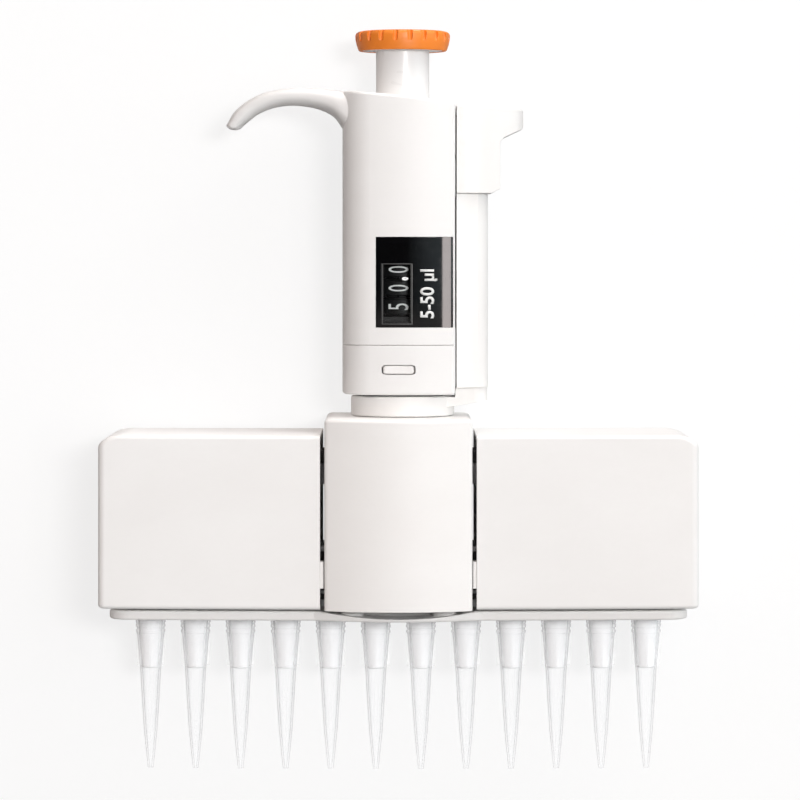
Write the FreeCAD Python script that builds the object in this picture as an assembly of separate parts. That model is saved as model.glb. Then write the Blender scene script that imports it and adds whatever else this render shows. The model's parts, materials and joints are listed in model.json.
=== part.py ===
# Twelve-channel hand pipette with tips.
# Frame: millimetres, +Z up, front of the instrument faces -Y, tips point to -Z.
# Origin: middle of the row of twelve tips, at the tip ends.
import FreeCAD
import Part
import math
import os

Vector = FreeCAD.Vector
os.makedirs("parts", exist_ok=True)

# ---------------------------------------------------------------- shared dimensions
PITCH = 9.0            # spacing of the channels
CHANNELS = 12
CHANNEL_XS = [(i - (CHANNELS - 1) / 2.0) * PITCH for i in range(CHANNELS)]
UPPER_X = 0.5          # plunger axis in the coordinates the upper half is drawn in
UPPER_SHIFT = 0.35     # save_upper() then moves the upper half this far to +X
NECK_X = UPPER_X + UPPER_SHIFT     # swivel axis on the module
FIT = 0.05             # running clearance
SPRING_GAP = 0.01      # between a spring's end and the face it bears on
BELOW, ABOVE = 0.0, 300.0          # z limits of cuts that run out of a part
SIDES = (-1, 1)


# ---------------------------------------------------------------- helpers
def cyl(r, z0, z1, x=0.0, y=0.0):
    return Part.makeCylinder(r, z1 - z0, Vector(x, y, z0))


def hole(r, x=0.0, y=0.0, z0=BELOW, z1=ABOVE):
    """cutting cylinder, right through unless z0 or z1 is given"""
    return cyl(r, z0, z1, x, y)


def ycyl(r, y0, y1, x, z):
    return Part.makeCylinder(r, y1 - y0, Vector(x, y0, z), Vector(0, 1, 0))


def xcyl(r, x0, x1, y, z):
    return Part.makeCylinder(r, x1 - x0, Vector(x0, y, z), Vector(1, 0, 0))


def box(x0, x1, y0, y1, z0, z1):
    return Part.makeBox(x1 - x0, y1 - y0, z1 - z0, Vector(x0, y0, z0))


def tube(r0, r1, z0, z1, x=0.0, y=0.0):
    return cyl(r1, z0, z1, x, y).cut(cyl(r0, z0 - 1, z1 + 1, x, y))


def line(start, end):
    return Part.LineSegment(start, end).toShape()


def arc(start, middle, end):
    return Part.Arc(start, middle, end).toShape()


def spline(points):
    curve = Part.BSplineCurve()
    curve.interpolate(points)
    return curve.toShape()


def polygon(points):
    return Part.Face(Part.makePolygon(points + points[:1]))


def rev(profile, x=0.0):
    """solid of revolution about a vertical axis from (r, z) points"""
    face = polygon([Vector(r, 0, z) for r, z in profile])
    solid = face.revolve(Vector(0, 0, 0), Vector(0, 0, 1), 360)
    if solid.Volume < 0:       # depends on the winding of the profile
        solid.reverse()
    solid.translate(Vector(x, 0, 0))
    return solid


def prism_y(profile, y0, y1):
    """(x, z) polygon extruded along Y"""
    return polygon([Vector(x, y0, z) for x, z in profile]).extrude(Vector(0, y1 - y0, 0))


def slab_xz(width, height, corner_r, y0, y1, x, z):
    """rounded rectangle in XZ, extruded along Y"""
    slab = box(x - width / 2, x + width / 2, y0, y1, z - height / 2, z + height / 2)
    return slab.makeFillet(corner_r, [e for e in slab.Edges if e.BoundBox.YLength > 0.5 * (y1 - y0)])


def spring(mean_r, wire_r, z0, z1, turns, x=0.0):
    """round-wire helix between two faces at z0 and z1"""
    z0, z1 = z0 + SPRING_GAP, z1 - SPRING_GAP
    height = (z1 - z0) - 2 * wire_r
    helix = Part.makeHelix(height / turns, height, mean_r)
    section = Part.Wire([Part.Edge(Part.Circle(Vector(mean_r, 0, 0), Vector(0, 1, 0), wire_r))])
    coil = Part.Wire(helix.Edges).makePipeShell([section], True, True)
    if coil.ShapeType != "Solid":
        coil = Part.Solid(coil)
    coil.translate(Vector(x, 0, z0 + wire_r))
    return coil


def screws(spots, shank_r, tip_z, head_r, seat_z, head_z, slot, slot_depth, cross=False):
    """upright screws at (x, y) spots; slot is its half length and half width"""
    inward = 1 if tip_z > seat_z else -1
    slot_z = sorted((head_z - inward, head_z + inward * slot_depth))
    length, width = slot
    made = []
    for x, y in spots:
        screw = cyl(shank_r, *sorted((tip_z, seat_z)), x, y)
        screw = screw.fuse(cyl(head_r, *sorted((seat_z, head_z)), x, y))
        screw = screw.cut(box(x - length, x + length, y - width, y + width, *slot_z))
        if cross:
            screw = screw.cut(box(x - width, x + width, y - length, y + length, *slot_z))
        made.append(screw.removeSplitter())
    return Part.makeCompound(made)


def near(value, target, tol=0.02):
    return abs(value - target) < tol


def upright_edges(shape, min_height):
    return [e for e in shape.Edges if e.BoundBox.ZLength > min_height]


def edges_at_z(shape, z):
    return [e for e in shape.Edges if near(e.CenterOfMass.z, z, 0.01)]


def soften(shape, edges, radii):
    """fillet with the first radius that gives one valid solid"""
    for r in radii:
        # the kernel may raise where a radius is too large: the next one is tried
        try:
            filleted = shape.makeFillet(r, edges)
            if filleted.isValid() and filleted.Volume > 0 and len(filleted.Solids) == 1:
                return filleted
        except Exception:
            pass
    return shape


def cut_all(shape, tools):
    return shape.cut(tools[0].multiFuse(tools[1:]))


def copies(shape, xs):
    made = []
    for x in xs:
        one = shape.copy()
        one.translate(Vector(x, 0, 0))
        made.append(one)
    return Part.makeCompound(made)


def corners(xs, y):
    """(x, y) places mirrored left to right and front to back"""
    return [(sx * x, sy * y) for sx in SIDES for x in xs for sy in SIDES]


def span(side, a, b):
    """ordered range a..b on the + or - side of zero"""
    return sorted((side * a, side * b))


def points_around(count, radius, x, y=0.0, phase=0.0):
    angles = [2 * math.pi * (k + phase) / count for k in range(count)]
    return [(x + radius * math.cos(a), y + radius * math.sin(a)) for a in angles]


def chord_radius(half_chord, rise):
    return (half_chord ** 2 + rise ** 2) / (2 * rise)


def save(name, shape):
    if len(shape.Solids) == 1:
        shape = shape.Solids[0]
    shape.exportStep("parts/%s.step" % name)


def save_upper(name, shape):
    shape.translate(Vector(UPPER_SHIFT, 0, 0))
    save(name, shape)


# ================================================================ TIPS
TIP_TOP = 54.0
TIP_R_TOP = 3.0
CONE_Z0 = 36.5         # lower end of the nozzle cone
CONE_R0 = 1.80
CONE_R1 = 2.50         # at the tip mouth
TAPER = (CONE_R1 - CONE_R0) / (TIP_TOP - CONE_Z0)
MOUTH_R = CONE_R1 + 0.02
SEAT_Z0 = 36.0         # lower end of the tip's tapered seat
SEAT_R0 = MOUTH_R - TAPER * (TIP_TOP - SEAT_Z0)
FINS = 8
FIN_HALF_T = 0.16
# (r, z) up the outside, down the inside, and the bore cleared of the fins
TIP_OUTSIDE = [
    (0.56, 0.0), (0.95, 6.5), (1.36, 14.0), (1.76, 25.0), (2.08, 35.5), (2.30, 40.0),
    (2.74, 49.2), (2.92, 49.4), (2.92, 50.2), (2.78, 50.4), (2.80, 51.2), (2.96, 51.4),
    (2.96, 52.2), (2.86, 52.4), (TIP_R_TOP, 53.2), (TIP_R_TOP, TIP_TOP)]
TIP_INSIDE = [
    (MOUTH_R, TIP_TOP), (SEAT_R0, SEAT_Z0), (1.70, 35.2), (1.38, 25.0), (0.99, 14.0),
    (0.60, 6.5), (0.22, 0.0)]
TIP_BORE = [(0.0, 34.0), (1.5, 34.0), (1.70, 35.2), (SEAT_R0, SEAT_Z0), (MOUTH_R, TIP_TOP),
            (0.0, TIP_TOP)]
FIN_PROFILE = [(2.0, 37.4), (2.78, 37.4), (2.86, 49.5), (2.60, 49.5)]


def tip():
    fins = []
    for k in range(FINS):
        fin = prism_y(FIN_PROFILE, -FIN_HALF_T, FIN_HALF_T)
        fin.rotate(Vector(0, 0, 0), Vector(0, 0, 1), 360.0 * k / FINS)
        fins.append(fin)
    return rev(TIP_OUTSIDE + TIP_INSIDE).multiFuse(fins).cut(rev(TIP_BORE))


save("tips", copies(tip(), CHANNEL_XS))

# ================================================================ NOZZLE CONES
CONE_R2 = 2.60                     # straight part above the tip
CHANNEL_BORE = 1.45
ROOT_R, ROOT_Z1 = 2.40, 69.0       # root of the cone inside the block
FLANGE_Z0, BLOCK_Z0 = 64.2, 66.0   # flange under the block
SEAL_Z1 = 69.8
CONE_PROFILE = [               # (r, z)
    (0.60, CONE_Z0), (1.55, CONE_Z0), (CONE_R0 + 0.01, CONE_Z0 + 0.4), (CONE_R1, TIP_TOP),
    (CONE_R2, 54.6), (CONE_R2, FLANGE_Z0), (4.0, FLANGE_Z0), (4.0, BLOCK_Z0),
    (ROOT_R, BLOCK_Z0), (ROOT_R, ROOT_Z1), (1.40, ROOT_Z1), (1.40, 54.0), (0.60, 52.6)]

save("nozzle_cones", copies(rev(CONE_PROFILE), CHANNEL_XS))
save("nozzle_seals", copies(tube(CHANNEL_BORE, ROOT_R, ROOT_Z1, SEAL_Z1), CHANNEL_XS))

# ================================================================ CYLINDER BLOCK AND PLATES
BLOCK_X, BLOCK_Y = 56.7, 8.0       # half sizes
BLOCK_Z1, SEAL_PLATE_Z1 = 80.0, 82.0
PISTON_SEAL_R, PISTON_SEAL_Z0, PISTON_SEAL_Z1 = 2.40, 76.2, 79.9
ROD_X, ROD_R = 27.0, 1.5
ROD_Z0, ROD_Z1 = 74.0, 114.5
POCKET_X, POCKET_Y = 2.6, 1.2      # half sizes
POCKET_MID_Y = 7.0
POCKET_Z0, POCKET_Z1 = 70.5, 76.5
CHASSIS_SCREWS = corners((55.0,), 5.0)
CHASSIS_SCREW_R = 1.0
PLATE_SCREWS = corners((18.0, 45.0), 6.0)
PLATE_SCREW_R = 0.9
PLATE_SCREW_Z1 = 72.0
PLATE_X, PLATE_Y, PLATE_Z0 = 52.8, BLOCK_Y - 0.2, 62.7
PLATE_SEAT_Z = 63.5                # screw heads sit against this level


def cylinder_block():
    block = box(-BLOCK_X, BLOCK_X, -BLOCK_Y, BLOCK_Y, BLOCK_Z0, BLOCK_Z1)
    block = soften(block, upright_edges(block, 1), [1.0])
    tools = []
    for x in CHANNEL_XS:
        tools.append(hole(CHANNEL_BORE, x))
        tools.append(hole(ROOT_R + FIT, x, z1=SEAL_Z1))
        tools.append(hole(PISTON_SEAL_R, x, z0=PISTON_SEAL_Z0))
    tools += [hole(ROD_R, side * ROD_X, z0=ROD_Z0) for side in SIDES]
    tools += [hole(CHASSIS_SCREW_R, x, y) for x, y in CHASSIS_SCREWS]
    tools += [hole(PLATE_SCREW_R, x, y, z1=PLATE_SCREW_Z1) for x, y in PLATE_SCREWS]
    # weight-saving pockets along the back and front faces
    for side in SIDES:
        y = side * POCKET_MID_Y
        tools += [box(x - POCKET_X, x + POCKET_X, y - POCKET_Y, y + POCKET_Y, POCKET_Z0, POCKET_Z1)
                  for x in CHANNEL_XS]
    return cut_all(block, tools)


def seal_plate():
    tools = [hole(CHANNEL_BORE, x) for x in CHANNEL_XS]
    tools += [hole(ROD_R, side * ROD_X) for side in SIDES]
    tools += [hole(CHASSIS_SCREW_R, x, y) for x, y in CHASSIS_SCREWS]
    return cut_all(box(-BLOCK_X, BLOCK_X, -BLOCK_Y, BLOCK_Y, BLOCK_Z1, SEAL_PLATE_Z1), tools)


def nozzle_plate():
    tools = [hole(CONE_R2 + 0.1, x) for x in CHANNEL_XS]
    for x, y in PLATE_SCREWS:
        tools.append(hole(PLATE_SCREW_R, x, y))
        tools.append(hole(1.55, x, y, z1=PLATE_SEAT_Z))
    return cut_all(box(-PLATE_X, PLATE_X, -PLATE_Y, PLATE_Y, PLATE_Z0, FLANGE_Z0), tools)


save("cylinder_block", cylinder_block())
save("piston_seals", copies(tube(1.22, PISTON_SEAL_R, PISTON_SEAL_Z0, PISTON_SEAL_Z1), CHANNEL_XS))
save("seal_plate", seal_plate())
save("nozzle_plate", nozzle_plate())
save("nozzle_plate_screws",
     screws(PLATE_SCREWS, shank_r=PLATE_SCREW_R, tip_z=PLATE_SCREW_Z1, head_r=1.5,
            seat_z=PLATE_SEAT_Z, head_z=62.75, slot=(1.2, 0.2), slot_depth=0.35))

# ================================================================ CHASSIS
POST_X0 = 53.3                     # inner face of the end posts
BEAM_Z0, BEAM_Z1 = 112.0, 116.0
CHASSIS_SCREW_SEAT = 66.0
NECK_R, NECK_BORE, NECK_Z1 = 8.0, 3.3, 153.0
THRUST_R, THRUST_Z0, THRUST_Z1 = 7.6, 137.2, 138.2
CLIP_R, CLIP_Z0, CLIP_Z1 = 7.4, 150.8, 151.8
GROOVE_R = 9.5                     # outside of the cuts for the neck grooves
COVER_SCREW_R, COVER_SCREW_Z = 1.2, 92.0


def chassis():
    frame = box(-BLOCK_X, BLOCK_X, -BLOCK_Y, BLOCK_Y, BEAM_Z0, BEAM_Z1)
    frame = frame.fuse([
        box(POST_X0, BLOCK_X, -BLOCK_Y, BLOCK_Y, SEAL_PLATE_Z1, BEAM_Z1),
        box(-BLOCK_X, -POST_X0, -BLOCK_Y, BLOCK_Y, SEAL_PLATE_Z1, BEAM_Z1),
        cyl(NECK_R, BEAM_Z1 - 1, NECK_Z1, NECK_X)]).removeSplitter()
    inside_corners = []
    for e in frame.Edges:
        c = e.CenterOfMass
        if near(abs(c.x), POST_X0) and near(c.z, BEAM_Z0) and e.Length > 10:
            inside_corners.append(e)
    frame = soften(frame, inside_corners, [2.0, 1.0])
    tools = [hole(NECK_BORE, NECK_X)]
    for side in SIDES:
        tools.append(hole(ROD_R, side * ROD_X, z1=ROD_Z1))
        tools.append(xcyl(COVER_SCREW_R, *span(side, 50, 60), 0, COVER_SCREW_Z))
    tools += [hole(CHASSIS_SCREW_R, x, y, z1=96.0) for x, y in CHASSIS_SCREWS]
    # grooves for the thrust ring and the retaining clip on the neck
    tools.append(tube(THRUST_R, GROOVE_R, THRUST_Z0, THRUST_Z1, NECK_X))
    tools.append(tube(CLIP_R, GROOVE_R, CLIP_Z0, CLIP_Z1, NECK_X))
    frame = cut_all(frame, tools)
    neck_rim = [e for e in edges_at_z(frame, NECK_Z1) if near(e.BoundBox.XLength, 2 * NECK_R, 0.1)]
    return soften(frame, neck_rim, [0.8])


def guide_rod():
    rod = cyl(ROD_R, ROD_Z0, ROD_Z1)
    return soften(rod, edges_at_z(rod, ROD_Z0), [0.3])


save("chassis", chassis())
save("chassis_screws",
     screws(CHASSIS_SCREWS, shank_r=CHASSIS_SCREW_R, tip_z=94.0, head_r=1.6,
            seat_z=CHASSIS_SCREW_SEAT, head_z=64.3, slot=(1.2, 0.25), slot_depth=0.6))
save("guide_rods", copies(guide_rod(), [-ROD_X, ROD_X]))
save_upper("thrust_ring", tube(THRUST_R, 9.2, THRUST_Z0, THRUST_Z1, UPPER_X))
save_upper("neck_clip", tube(CLIP_R, 9.0, CLIP_Z0, CLIP_Z1, UPPER_X).cut(
    box(UPPER_X - 1.0, UPPER_X + 1.0, 5, 12, 150, 153)))

# ================================================================ PISTON CARRIAGE
CARRIAGE_X, CARRIAGE_Y = 52.6, 5.5             # half sizes
CARRIAGE_Z0, CARRIAGE_Z1, CLAMP_Z1 = 104.0, 110.0, 111.5
BUSH_R = 2.3
PISTON_R, PISTON_Z0, PISTON_Z1 = 1.18, 70.0, 108.5
PISTON_HEAD_R, PISTON_HEAD_Z0 = 2.0, 108.0
CLAMP_SCREWS = corners((18.0,), 3.6)
CLAMP_SCREW_R, CLAMP_SCREW_Z0, CLAMP_SEAT_Z = 0.8, 105.0, 110.7


def carriage_bar(z0, z1):
    bar = box(-CARRIAGE_X, CARRIAGE_X, -CARRIAGE_Y, CARRIAGE_Y, z0, z1)
    return soften(bar, upright_edges(bar, 1), [2.0, 1.0])


def clamp_screw_holes():
    return [hole(CLAMP_SCREW_R, x, y, z0=CLAMP_SCREW_Z0) for x, y in CLAMP_SCREWS]


def piston_bar():
    tools = []
    for x in CHANNEL_XS:
        tools.append(hole(1.20, x))
        tools.append(hole(PISTON_HEAD_R + FIT, x, z0=PISTON_HEAD_Z0))
    tools += [hole(BUSH_R, side * ROD_X) for side in SIDES]
    return cut_all(carriage_bar(CARRIAGE_Z0, CARRIAGE_Z1), tools + clamp_screw_holes())


def piston_clamp():
    tools = [hole(1.9, side * ROD_X) for side in SIDES] + clamp_screw_holes()
    tools += [hole(1.45, x, y, z0=CLAMP_SEAT_Z) for x, y in CLAMP_SCREWS]
    return cut_all(carriage_bar(CARRIAGE_Z1, CLAMP_Z1), tools)


def piston():
    rod = cyl(PISTON_R, PISTON_Z0, PISTON_Z1)
    rod = rod.fuse(cyl(PISTON_HEAD_R, PISTON_HEAD_Z0, CARRIAGE_Z1)).removeSplitter()
    return soften(rod, edges_at_z(rod, PISTON_Z0), [0.3])


save("piston_bar", piston_bar())
save("piston_clamp", piston_clamp())
save("piston_clamp_screws",
     screws(CLAMP_SCREWS, shank_r=CLAMP_SCREW_R, tip_z=CLAMP_SCREW_Z0, head_r=1.4,
            seat_z=CLAMP_SEAT_Z, head_z=111.45, slot=(1.2, 0.2), slot_depth=0.35))
save("pistons", copies(piston(), CHANNEL_XS))
save("carriage_bushes", copies(tube(ROD_R + FIT, BUSH_R, CARRIAGE_Z0, CARRIAGE_Z1), [-ROD_X, ROD_X]))
save("carriage_springs", copies(spring(2.35, 0.32, SEAL_PLATE_Z1, CARRIAGE_Z0, 8), [-ROD_X, ROD_X]))

# ================================================================ SIDE COVERS
SIDE_X0, SIDE_X1 = 15.3, 58.8
SIDE_Y = 17.0
SIDE_Z0, SIDE_Z1 = 60.4, 122.4
SIDE_WALL = 1.8
SIDE_FLOOR = 1.5
SIDE_CORNER = 4.6                  # rounding of the upper outer corner
SLOT_X1, SLOT_Y = 55.8, 4.3        # bottom slot for the nozzles
COVER_HOLE_R = 1.25
COVER_SEAT_X, COVER_SEAT_R = 57.6, 2.5
COVER_HEAD_X, COVER_HEAD_R = 58.5, 2.3
BOSS_R, BOSS_X0, BOSS_X1 = 3.4, 56.72, 57.4
PAD_Y0, PAD_Y1, PAD_Z0, PAD_Z1 = 13.4, 16.6, 68.0, 77.6
RIB_XS, RIB_HALF_T, RIB_Y0 = (30.0, 44.0), 0.6, 13.2


def top_corner_edges(shape, x, z):
    return [e for e in shape.Edges
            if near(e.CenterOfMass.x, x) and near(e.CenterOfMass.z, z) and e.Length > 10]


def side_cover():
    """right-hand cover"""
    cover = box(SIDE_X0, SIDE_X1, -SIDE_Y, SIDE_Y, SIDE_Z0, SIDE_Z1)
    cover = soften(cover, top_corner_edges(cover, SIDE_X1, SIDE_Z1), [SIDE_CORNER])
    rim = []
    for e in cover.Edges:
        c = e.CenterOfMass
        bounds = e.BoundBox
        if bounds.XMax > SIDE_X0 + 0.1 and bounds.XMin < SIDE_X0 + 0.1 and e.Length > 30:
            rim.append(e)          # long edges running out from the middle
        elif near(abs(c.y), SIDE_Y) and bounds.XMin > SIDE_X0 + 1:
            rim.append(e)          # end-face outline, front and back
        elif near(c.x, SIDE_X1) and near(c.z, SIDE_Z0):
            rim.append(e)          # lower edge of the end face
    cover = soften(cover, rim, [1.3, 1.2, 1.0, 0.8])
    wall_x, wall_y, roof_z = SIDE_X1 - SIDE_WALL, SIDE_Y - SIDE_WALL, SIDE_Z1 - SIDE_WALL
    inside = box(SIDE_X0 - 1, wall_x, -wall_y, wall_y, SIDE_Z0 + SIDE_FLOOR, roof_z)
    inside = soften(inside, top_corner_edges(inside, wall_x, roof_z), [3.0])
    cover = cover.cut(inside)
    cover = cover.cut(box(SIDE_X0 - 1, SLOT_X1, -SLOT_Y, SLOT_Y, SIDE_Z0 - 1, SIDE_Z0 + 2))
    # end screw hole, and its boss reaching the chassis post
    screw_hole = xcyl(COVER_HOLE_R, 50, 60, 0, COVER_SCREW_Z)
    cover = cover.cut(screw_hole).cut(xcyl(COVER_SEAT_R, COVER_SEAT_X, 60, 0, COVER_SCREW_Z))
    cover = cover.fuse(xcyl(BOSS_R, BOSS_X0, BOSS_X1, 0, COVER_SCREW_Z).cut(screw_hole))
    # guide pads in the gap beside the sliding centre cover
    cover = cover.fuse([box(SIDE_X0 - 0.68, SIDE_X0 + 1.5, *span(side, PAD_Y0, PAD_Y1), PAD_Z0, PAD_Z1)
                        for side in SIDES])
    # vertical stiffening ribs inside the front and back walls
    ribs = [box(x - RIB_HALF_T, x + RIB_HALF_T, *span(side, RIB_Y0, SIDE_Y - 1.0),
                SIDE_Z0 + 1.0, SIDE_Z1 - 1.0)
            for x in RIB_XS for side in SIDES]
    return cover.fuse(ribs).removeSplitter()


def cover_screws():
    screw = xcyl(COVER_SCREW_R, 53.5, COVER_SEAT_X, 0, COVER_SCREW_Z)
    screw = screw.fuse(xcyl(COVER_HEAD_R, COVER_SEAT_X, COVER_HEAD_X, 0, COVER_SCREW_Z))
    for half_y, half_z in ((2.5, 0.25), (0.25, 2.5)):      # cross slot
        screw = screw.cut(box(COVER_HEAD_X - 0.5, 60, -half_y, half_y,
                              COVER_SCREW_Z - half_z, COVER_SCREW_Z + half_z))
    screw = screw.removeSplitter()
    return Part.makeCompound([screw, screw.mirror(Vector(0, 0, 0), Vector(1, 0, 0))])


save("left_cover", side_cover().mirror(Vector(0, 0, 0), Vector(1, 0, 0)))
save("right_cover", side_cover())
save("cover_screws", cover_screws())

# ================================================================ STRIPPER
CENTRE_X = 14.45
CENTRE_FRONT, CENTRE_FRONT_EDGE = 21.0, 17.6   # bowed front: middle and sides
CENTRE_REAR = 16.8
CENTRE_Z0, CENTRE_Z1 = 60.2, 128.3
CENTRE_WALL = 1.9
ROOF_Z = 125.5                     # underside of the roof
OPENING_X, OPENING_Z1 = 20, 121.5  # openings in the sides, round the chassis
STRIP_RODS = corners((9.0,), 11.2)
STRIP_ROD_R = 1.5
STRIP_SCREW_R = 0.8
BAR_X, BAR_Y = 57.0, 13.2          # half sizes
BAR_Z0, BAR_Z1 = 55.9, 59.3
BAR_HOLE = 2.80
BAR_BULGE, BULGE_X = 3.6, 16.5     # the bar follows the bowed front of the centre cover
RELIEF, RELIEF_X = 2.3, 15.2       # depth and half width of the front relief
STRIP_SEAT_Z = BAR_Z0 + 1.2        # screw heads sit against this level


def centre_solid(inset, z0, z1):
    x = CENTRE_X - inset
    front, front_edge = -(CENTRE_FRONT - inset), -(CENTRE_FRONT_EDGE - inset)
    rear = CENTRE_REAR - inset
    edges = [arc(Vector(-x, front_edge, 0), Vector(0, front, 0), Vector(x, front_edge, 0)),
             line(Vector(x, front_edge, 0), Vector(x, rear, 0)),
             line(Vector(x, rear, 0), Vector(-x, rear, 0)),
             line(Vector(-x, rear, 0), Vector(-x, front_edge, 0))]
    solid = Part.Face(Part.Wire(edges)).extrude(Vector(0, 0, z1 - z0))
    solid.translate(Vector(0, 0, z0))
    return solid


def side_openings(half_y):
    return box(-OPENING_X, OPENING_X, -half_y, half_y, CENTRE_Z0 - 5, OPENING_Z1)


def centre_cover():
    cover = centre_solid(0, CENTRE_Z0, CENTRE_Z1)
    cover = soften(cover, upright_edges(cover, 30), [1.2, 1.0])
    cover = soften(cover, edges_at_z(cover, CENTRE_Z1), [1.2, 0.9, 0.6])
    cover = cover.cut(centre_solid(CENTRE_WALL, CENTRE_Z0 - 5, ROOF_Z))
    cover = cover.cut(side_openings(9.2))
    cover = cover.cut(hole(8.6, NECK_X))
    # bosses that hold the stripper rods under the roof
    for x, y in STRIP_RODS:
        cover = cover.fuse(tube(STRIP_ROD_R, 2.9, 119.0, 126.0, x, y))
    for x, y in STRIP_RODS:
        cover = cover.cut(hole(STRIP_ROD_R, x, y, z1=ROOF_Z))
    # trims the bosses where they reach in toward the chassis
    return cover.cut(side_openings(8.5)).removeSplitter()


def stripper_rods():
    return Part.makeCompound([
        cyl(STRIP_ROD_R, BAR_Z1, ROOF_Z, x, y).cut(cyl(STRIP_SCREW_R, BAR_Z1 - 1, 66.0, x, y))
        for x, y in STRIP_RODS])


def stripper_bar():
    bar = box(-BAR_X, BAR_X, -BAR_Y, BAR_Y, BAR_Z0, BAR_Z1)
    bar = soften(bar, upright_edges(bar, 3), [4.0, 3.0])
    bow_r = chord_radius(BULGE_X, BAR_BULGE)
    bow = cyl(bow_r, BAR_Z0, BAR_Z1, 0, -BAR_Y - BAR_BULGE + bow_r)
    bow = bow.common(box(-17, 17, -20, -12, BAR_Z0, BAR_Z1))
    bar = bar.fuse(bow).removeSplitter()
    rims = [e for e in bar.Edges
            if near(e.CenterOfMass.z, BAR_Z0, 0.01) or near(e.CenterOfMass.z, BAR_Z1, 0.01)]
    bar = soften(bar, rims, [0.8, 0.6, 0.4])
    # shallow relief under the sliding cover, front edge
    relief_r = chord_radius(RELIEF_X, RELIEF)
    relief = ycyl(relief_r, -18.8, -8.8, 0, BAR_Z1 - RELIEF + relief_r)
    # the seats of the two front rods stay full height
    for x, y in STRIP_RODS:
        if y < 0:
            relief = relief.cut(cyl(2.3, BAR_Z0, 100, x, y))
    bar = bar.cut(relief)
    tools = [hole(BAR_HOLE, x) for x in CHANNEL_XS]
    for x, y in STRIP_RODS:
        tools.append(hole(STRIP_SCREW_R, x, y))
        tools.append(hole(1.5, x, y, z1=STRIP_SEAT_Z))
    return cut_all(bar, tools)


save("centre_cover", centre_cover())
save("stripper_rods", stripper_rods())
save("stripper_bar", stripper_bar())
save("stripper_screws",
     screws(STRIP_RODS, shank_r=STRIP_SCREW_R, tip_z=65.5, head_r=1.45, seat_z=STRIP_SEAT_Z,
            head_z=BAR_Z0 + 0.3, slot=(1.1, 0.2), slot_depth=0.4))

# ================================================================ EJECTOR RING, ARM, BUTTON
RING_R, RING_BORE = 10.3, 8.1
RING_Z0, RING_Z1 = 128.5, 135.8
ARM_X0, ARM_X1 = 11.15, 17.4
ARM_Y = 7.6                        # half width
ARM_Z0, BUTTON_Z0 = 138.9, 209.0
ARM_HOLLOW_Z1 = 206.0
ARM_ROUND = 2.0                    # size of the rounding on the outer side
WEB_Y = 1.4                        # half width of the web and rib
HEAD_Z0, HEAD_Z1 = 202.0, 208.0
PIN_R, PIN_HALF = 0.8, 7.4         # cross pin through tongue and button
PIN_AT = (14.2, 211.8)             # x, z
TONGUE_X = (12.0, 16.4)
CHEEK_X, CHEEK_Y, CHEEK_Z = (12.2, 16.2), (4.05, 7.6), (209.6, 214.2)
BUTTON_BASE_Z = 205                # plan outlines are drawn here
BUTTON_CAVITY_Z1 = 238.0
SHELF_Z1 = 223.0                   # top of the handle shelf the spring stands on
EJECTOR_SPRING_X = 15.0
LUG_PROFILE = [                # (x, z)
    (6.0, RING_Z1 - 0.4), (10.9, RING_Z1 - 0.4), (10.95, ARM_Z0 - 0.1), (17.3, ARM_Z0 - 0.1),
    (17.3, 134.2), (8.0, 131.3), (6.0, 131.3)]
BUTTON_PROFILE = [             # (x, z), with a thumb lip at the top
    (ARM_X0, BUTTON_Z0), (18.1, BUTTON_Z0), (19.8, 210.6), (19.8, 227.4), (20.6, 229.2),
    (24.2, 232.2), (24.5, 232.7), (24.5, 239.0), (23.9, 239.6), (ARM_X0, 240.9)]
BUTTON_PLAN = [                # (x, y)
    (ARM_X0, -9.4), (16.2, -9.0), (20.0, -7.4), (23.4, -4.6), (24.6, 0), (23.4, 4.6),
    (20.0, 7.4), (16.2, 9.0), (ARM_X0, 9.4)]
BUTTON_CAVITY = [              # (x, y)
    (ARM_X0 - 1, -7.4), (15.6, -7.2), (18.0, -5.6), (18.7, 0), (18.0, 5.6), (15.6, 7.2),
    (ARM_X0 - 1, 7.4)]


def ejector_ring():
    ring = cyl(RING_R, RING_Z0, RING_Z1, UPPER_X)
    ring = soften(ring, [e for e in ring.Edges if e.BoundBox.ZLength < 0.01], [0.7])
    lug = prism_y(LUG_PROFILE, -5.5, 5.5)
    lug = soften(lug, [e for e in upright_edges(lug, 1) if e.BoundBox.XMin > 17.2], [2.6, 2.0, 1.5])
    ring = ring.fuse(lug).removeSplitter()
    ring = ring.cut(hole(RING_BORE, UPPER_X))
    return ring.cut(tube(8.0, 9.35, RING_Z1 - 0.6, ABOVE, UPPER_X))


def arm_blank():
    """flat inner side, softly rounded outer side"""
    side_y, flat_y = ARM_Y - 0.4, ARM_Y - 0.4 - 2.0 * ARM_ROUND
    mid_y = side_y - 0.71 * ARM_ROUND
    round_x, mid_x = ARM_X1 - ARM_ROUND, ARM_X1 - 0.29 * ARM_ROUND
    outline = [(ARM_X0, -ARM_Y), (round_x, -side_y), (mid_x, -mid_y), (ARM_X1, -flat_y),
               (ARM_X1, flat_y), (mid_x, mid_y), (round_x, side_y), (ARM_X0, ARM_Y)]
    p = [Vector(x, y, ARM_Z0) for x, y in outline]
    edges = [line(p[7], p[0]), line(p[0], p[1]), arc(p[1], p[2], p[3]), line(p[3], p[4]),
             arc(p[4], p[5], p[6]), line(p[6], p[7])]
    return Part.Face(Part.Wire(edges)).extrude(Vector(0, 0, BUTTON_Z0 + 5.5 - ARM_Z0))


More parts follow.
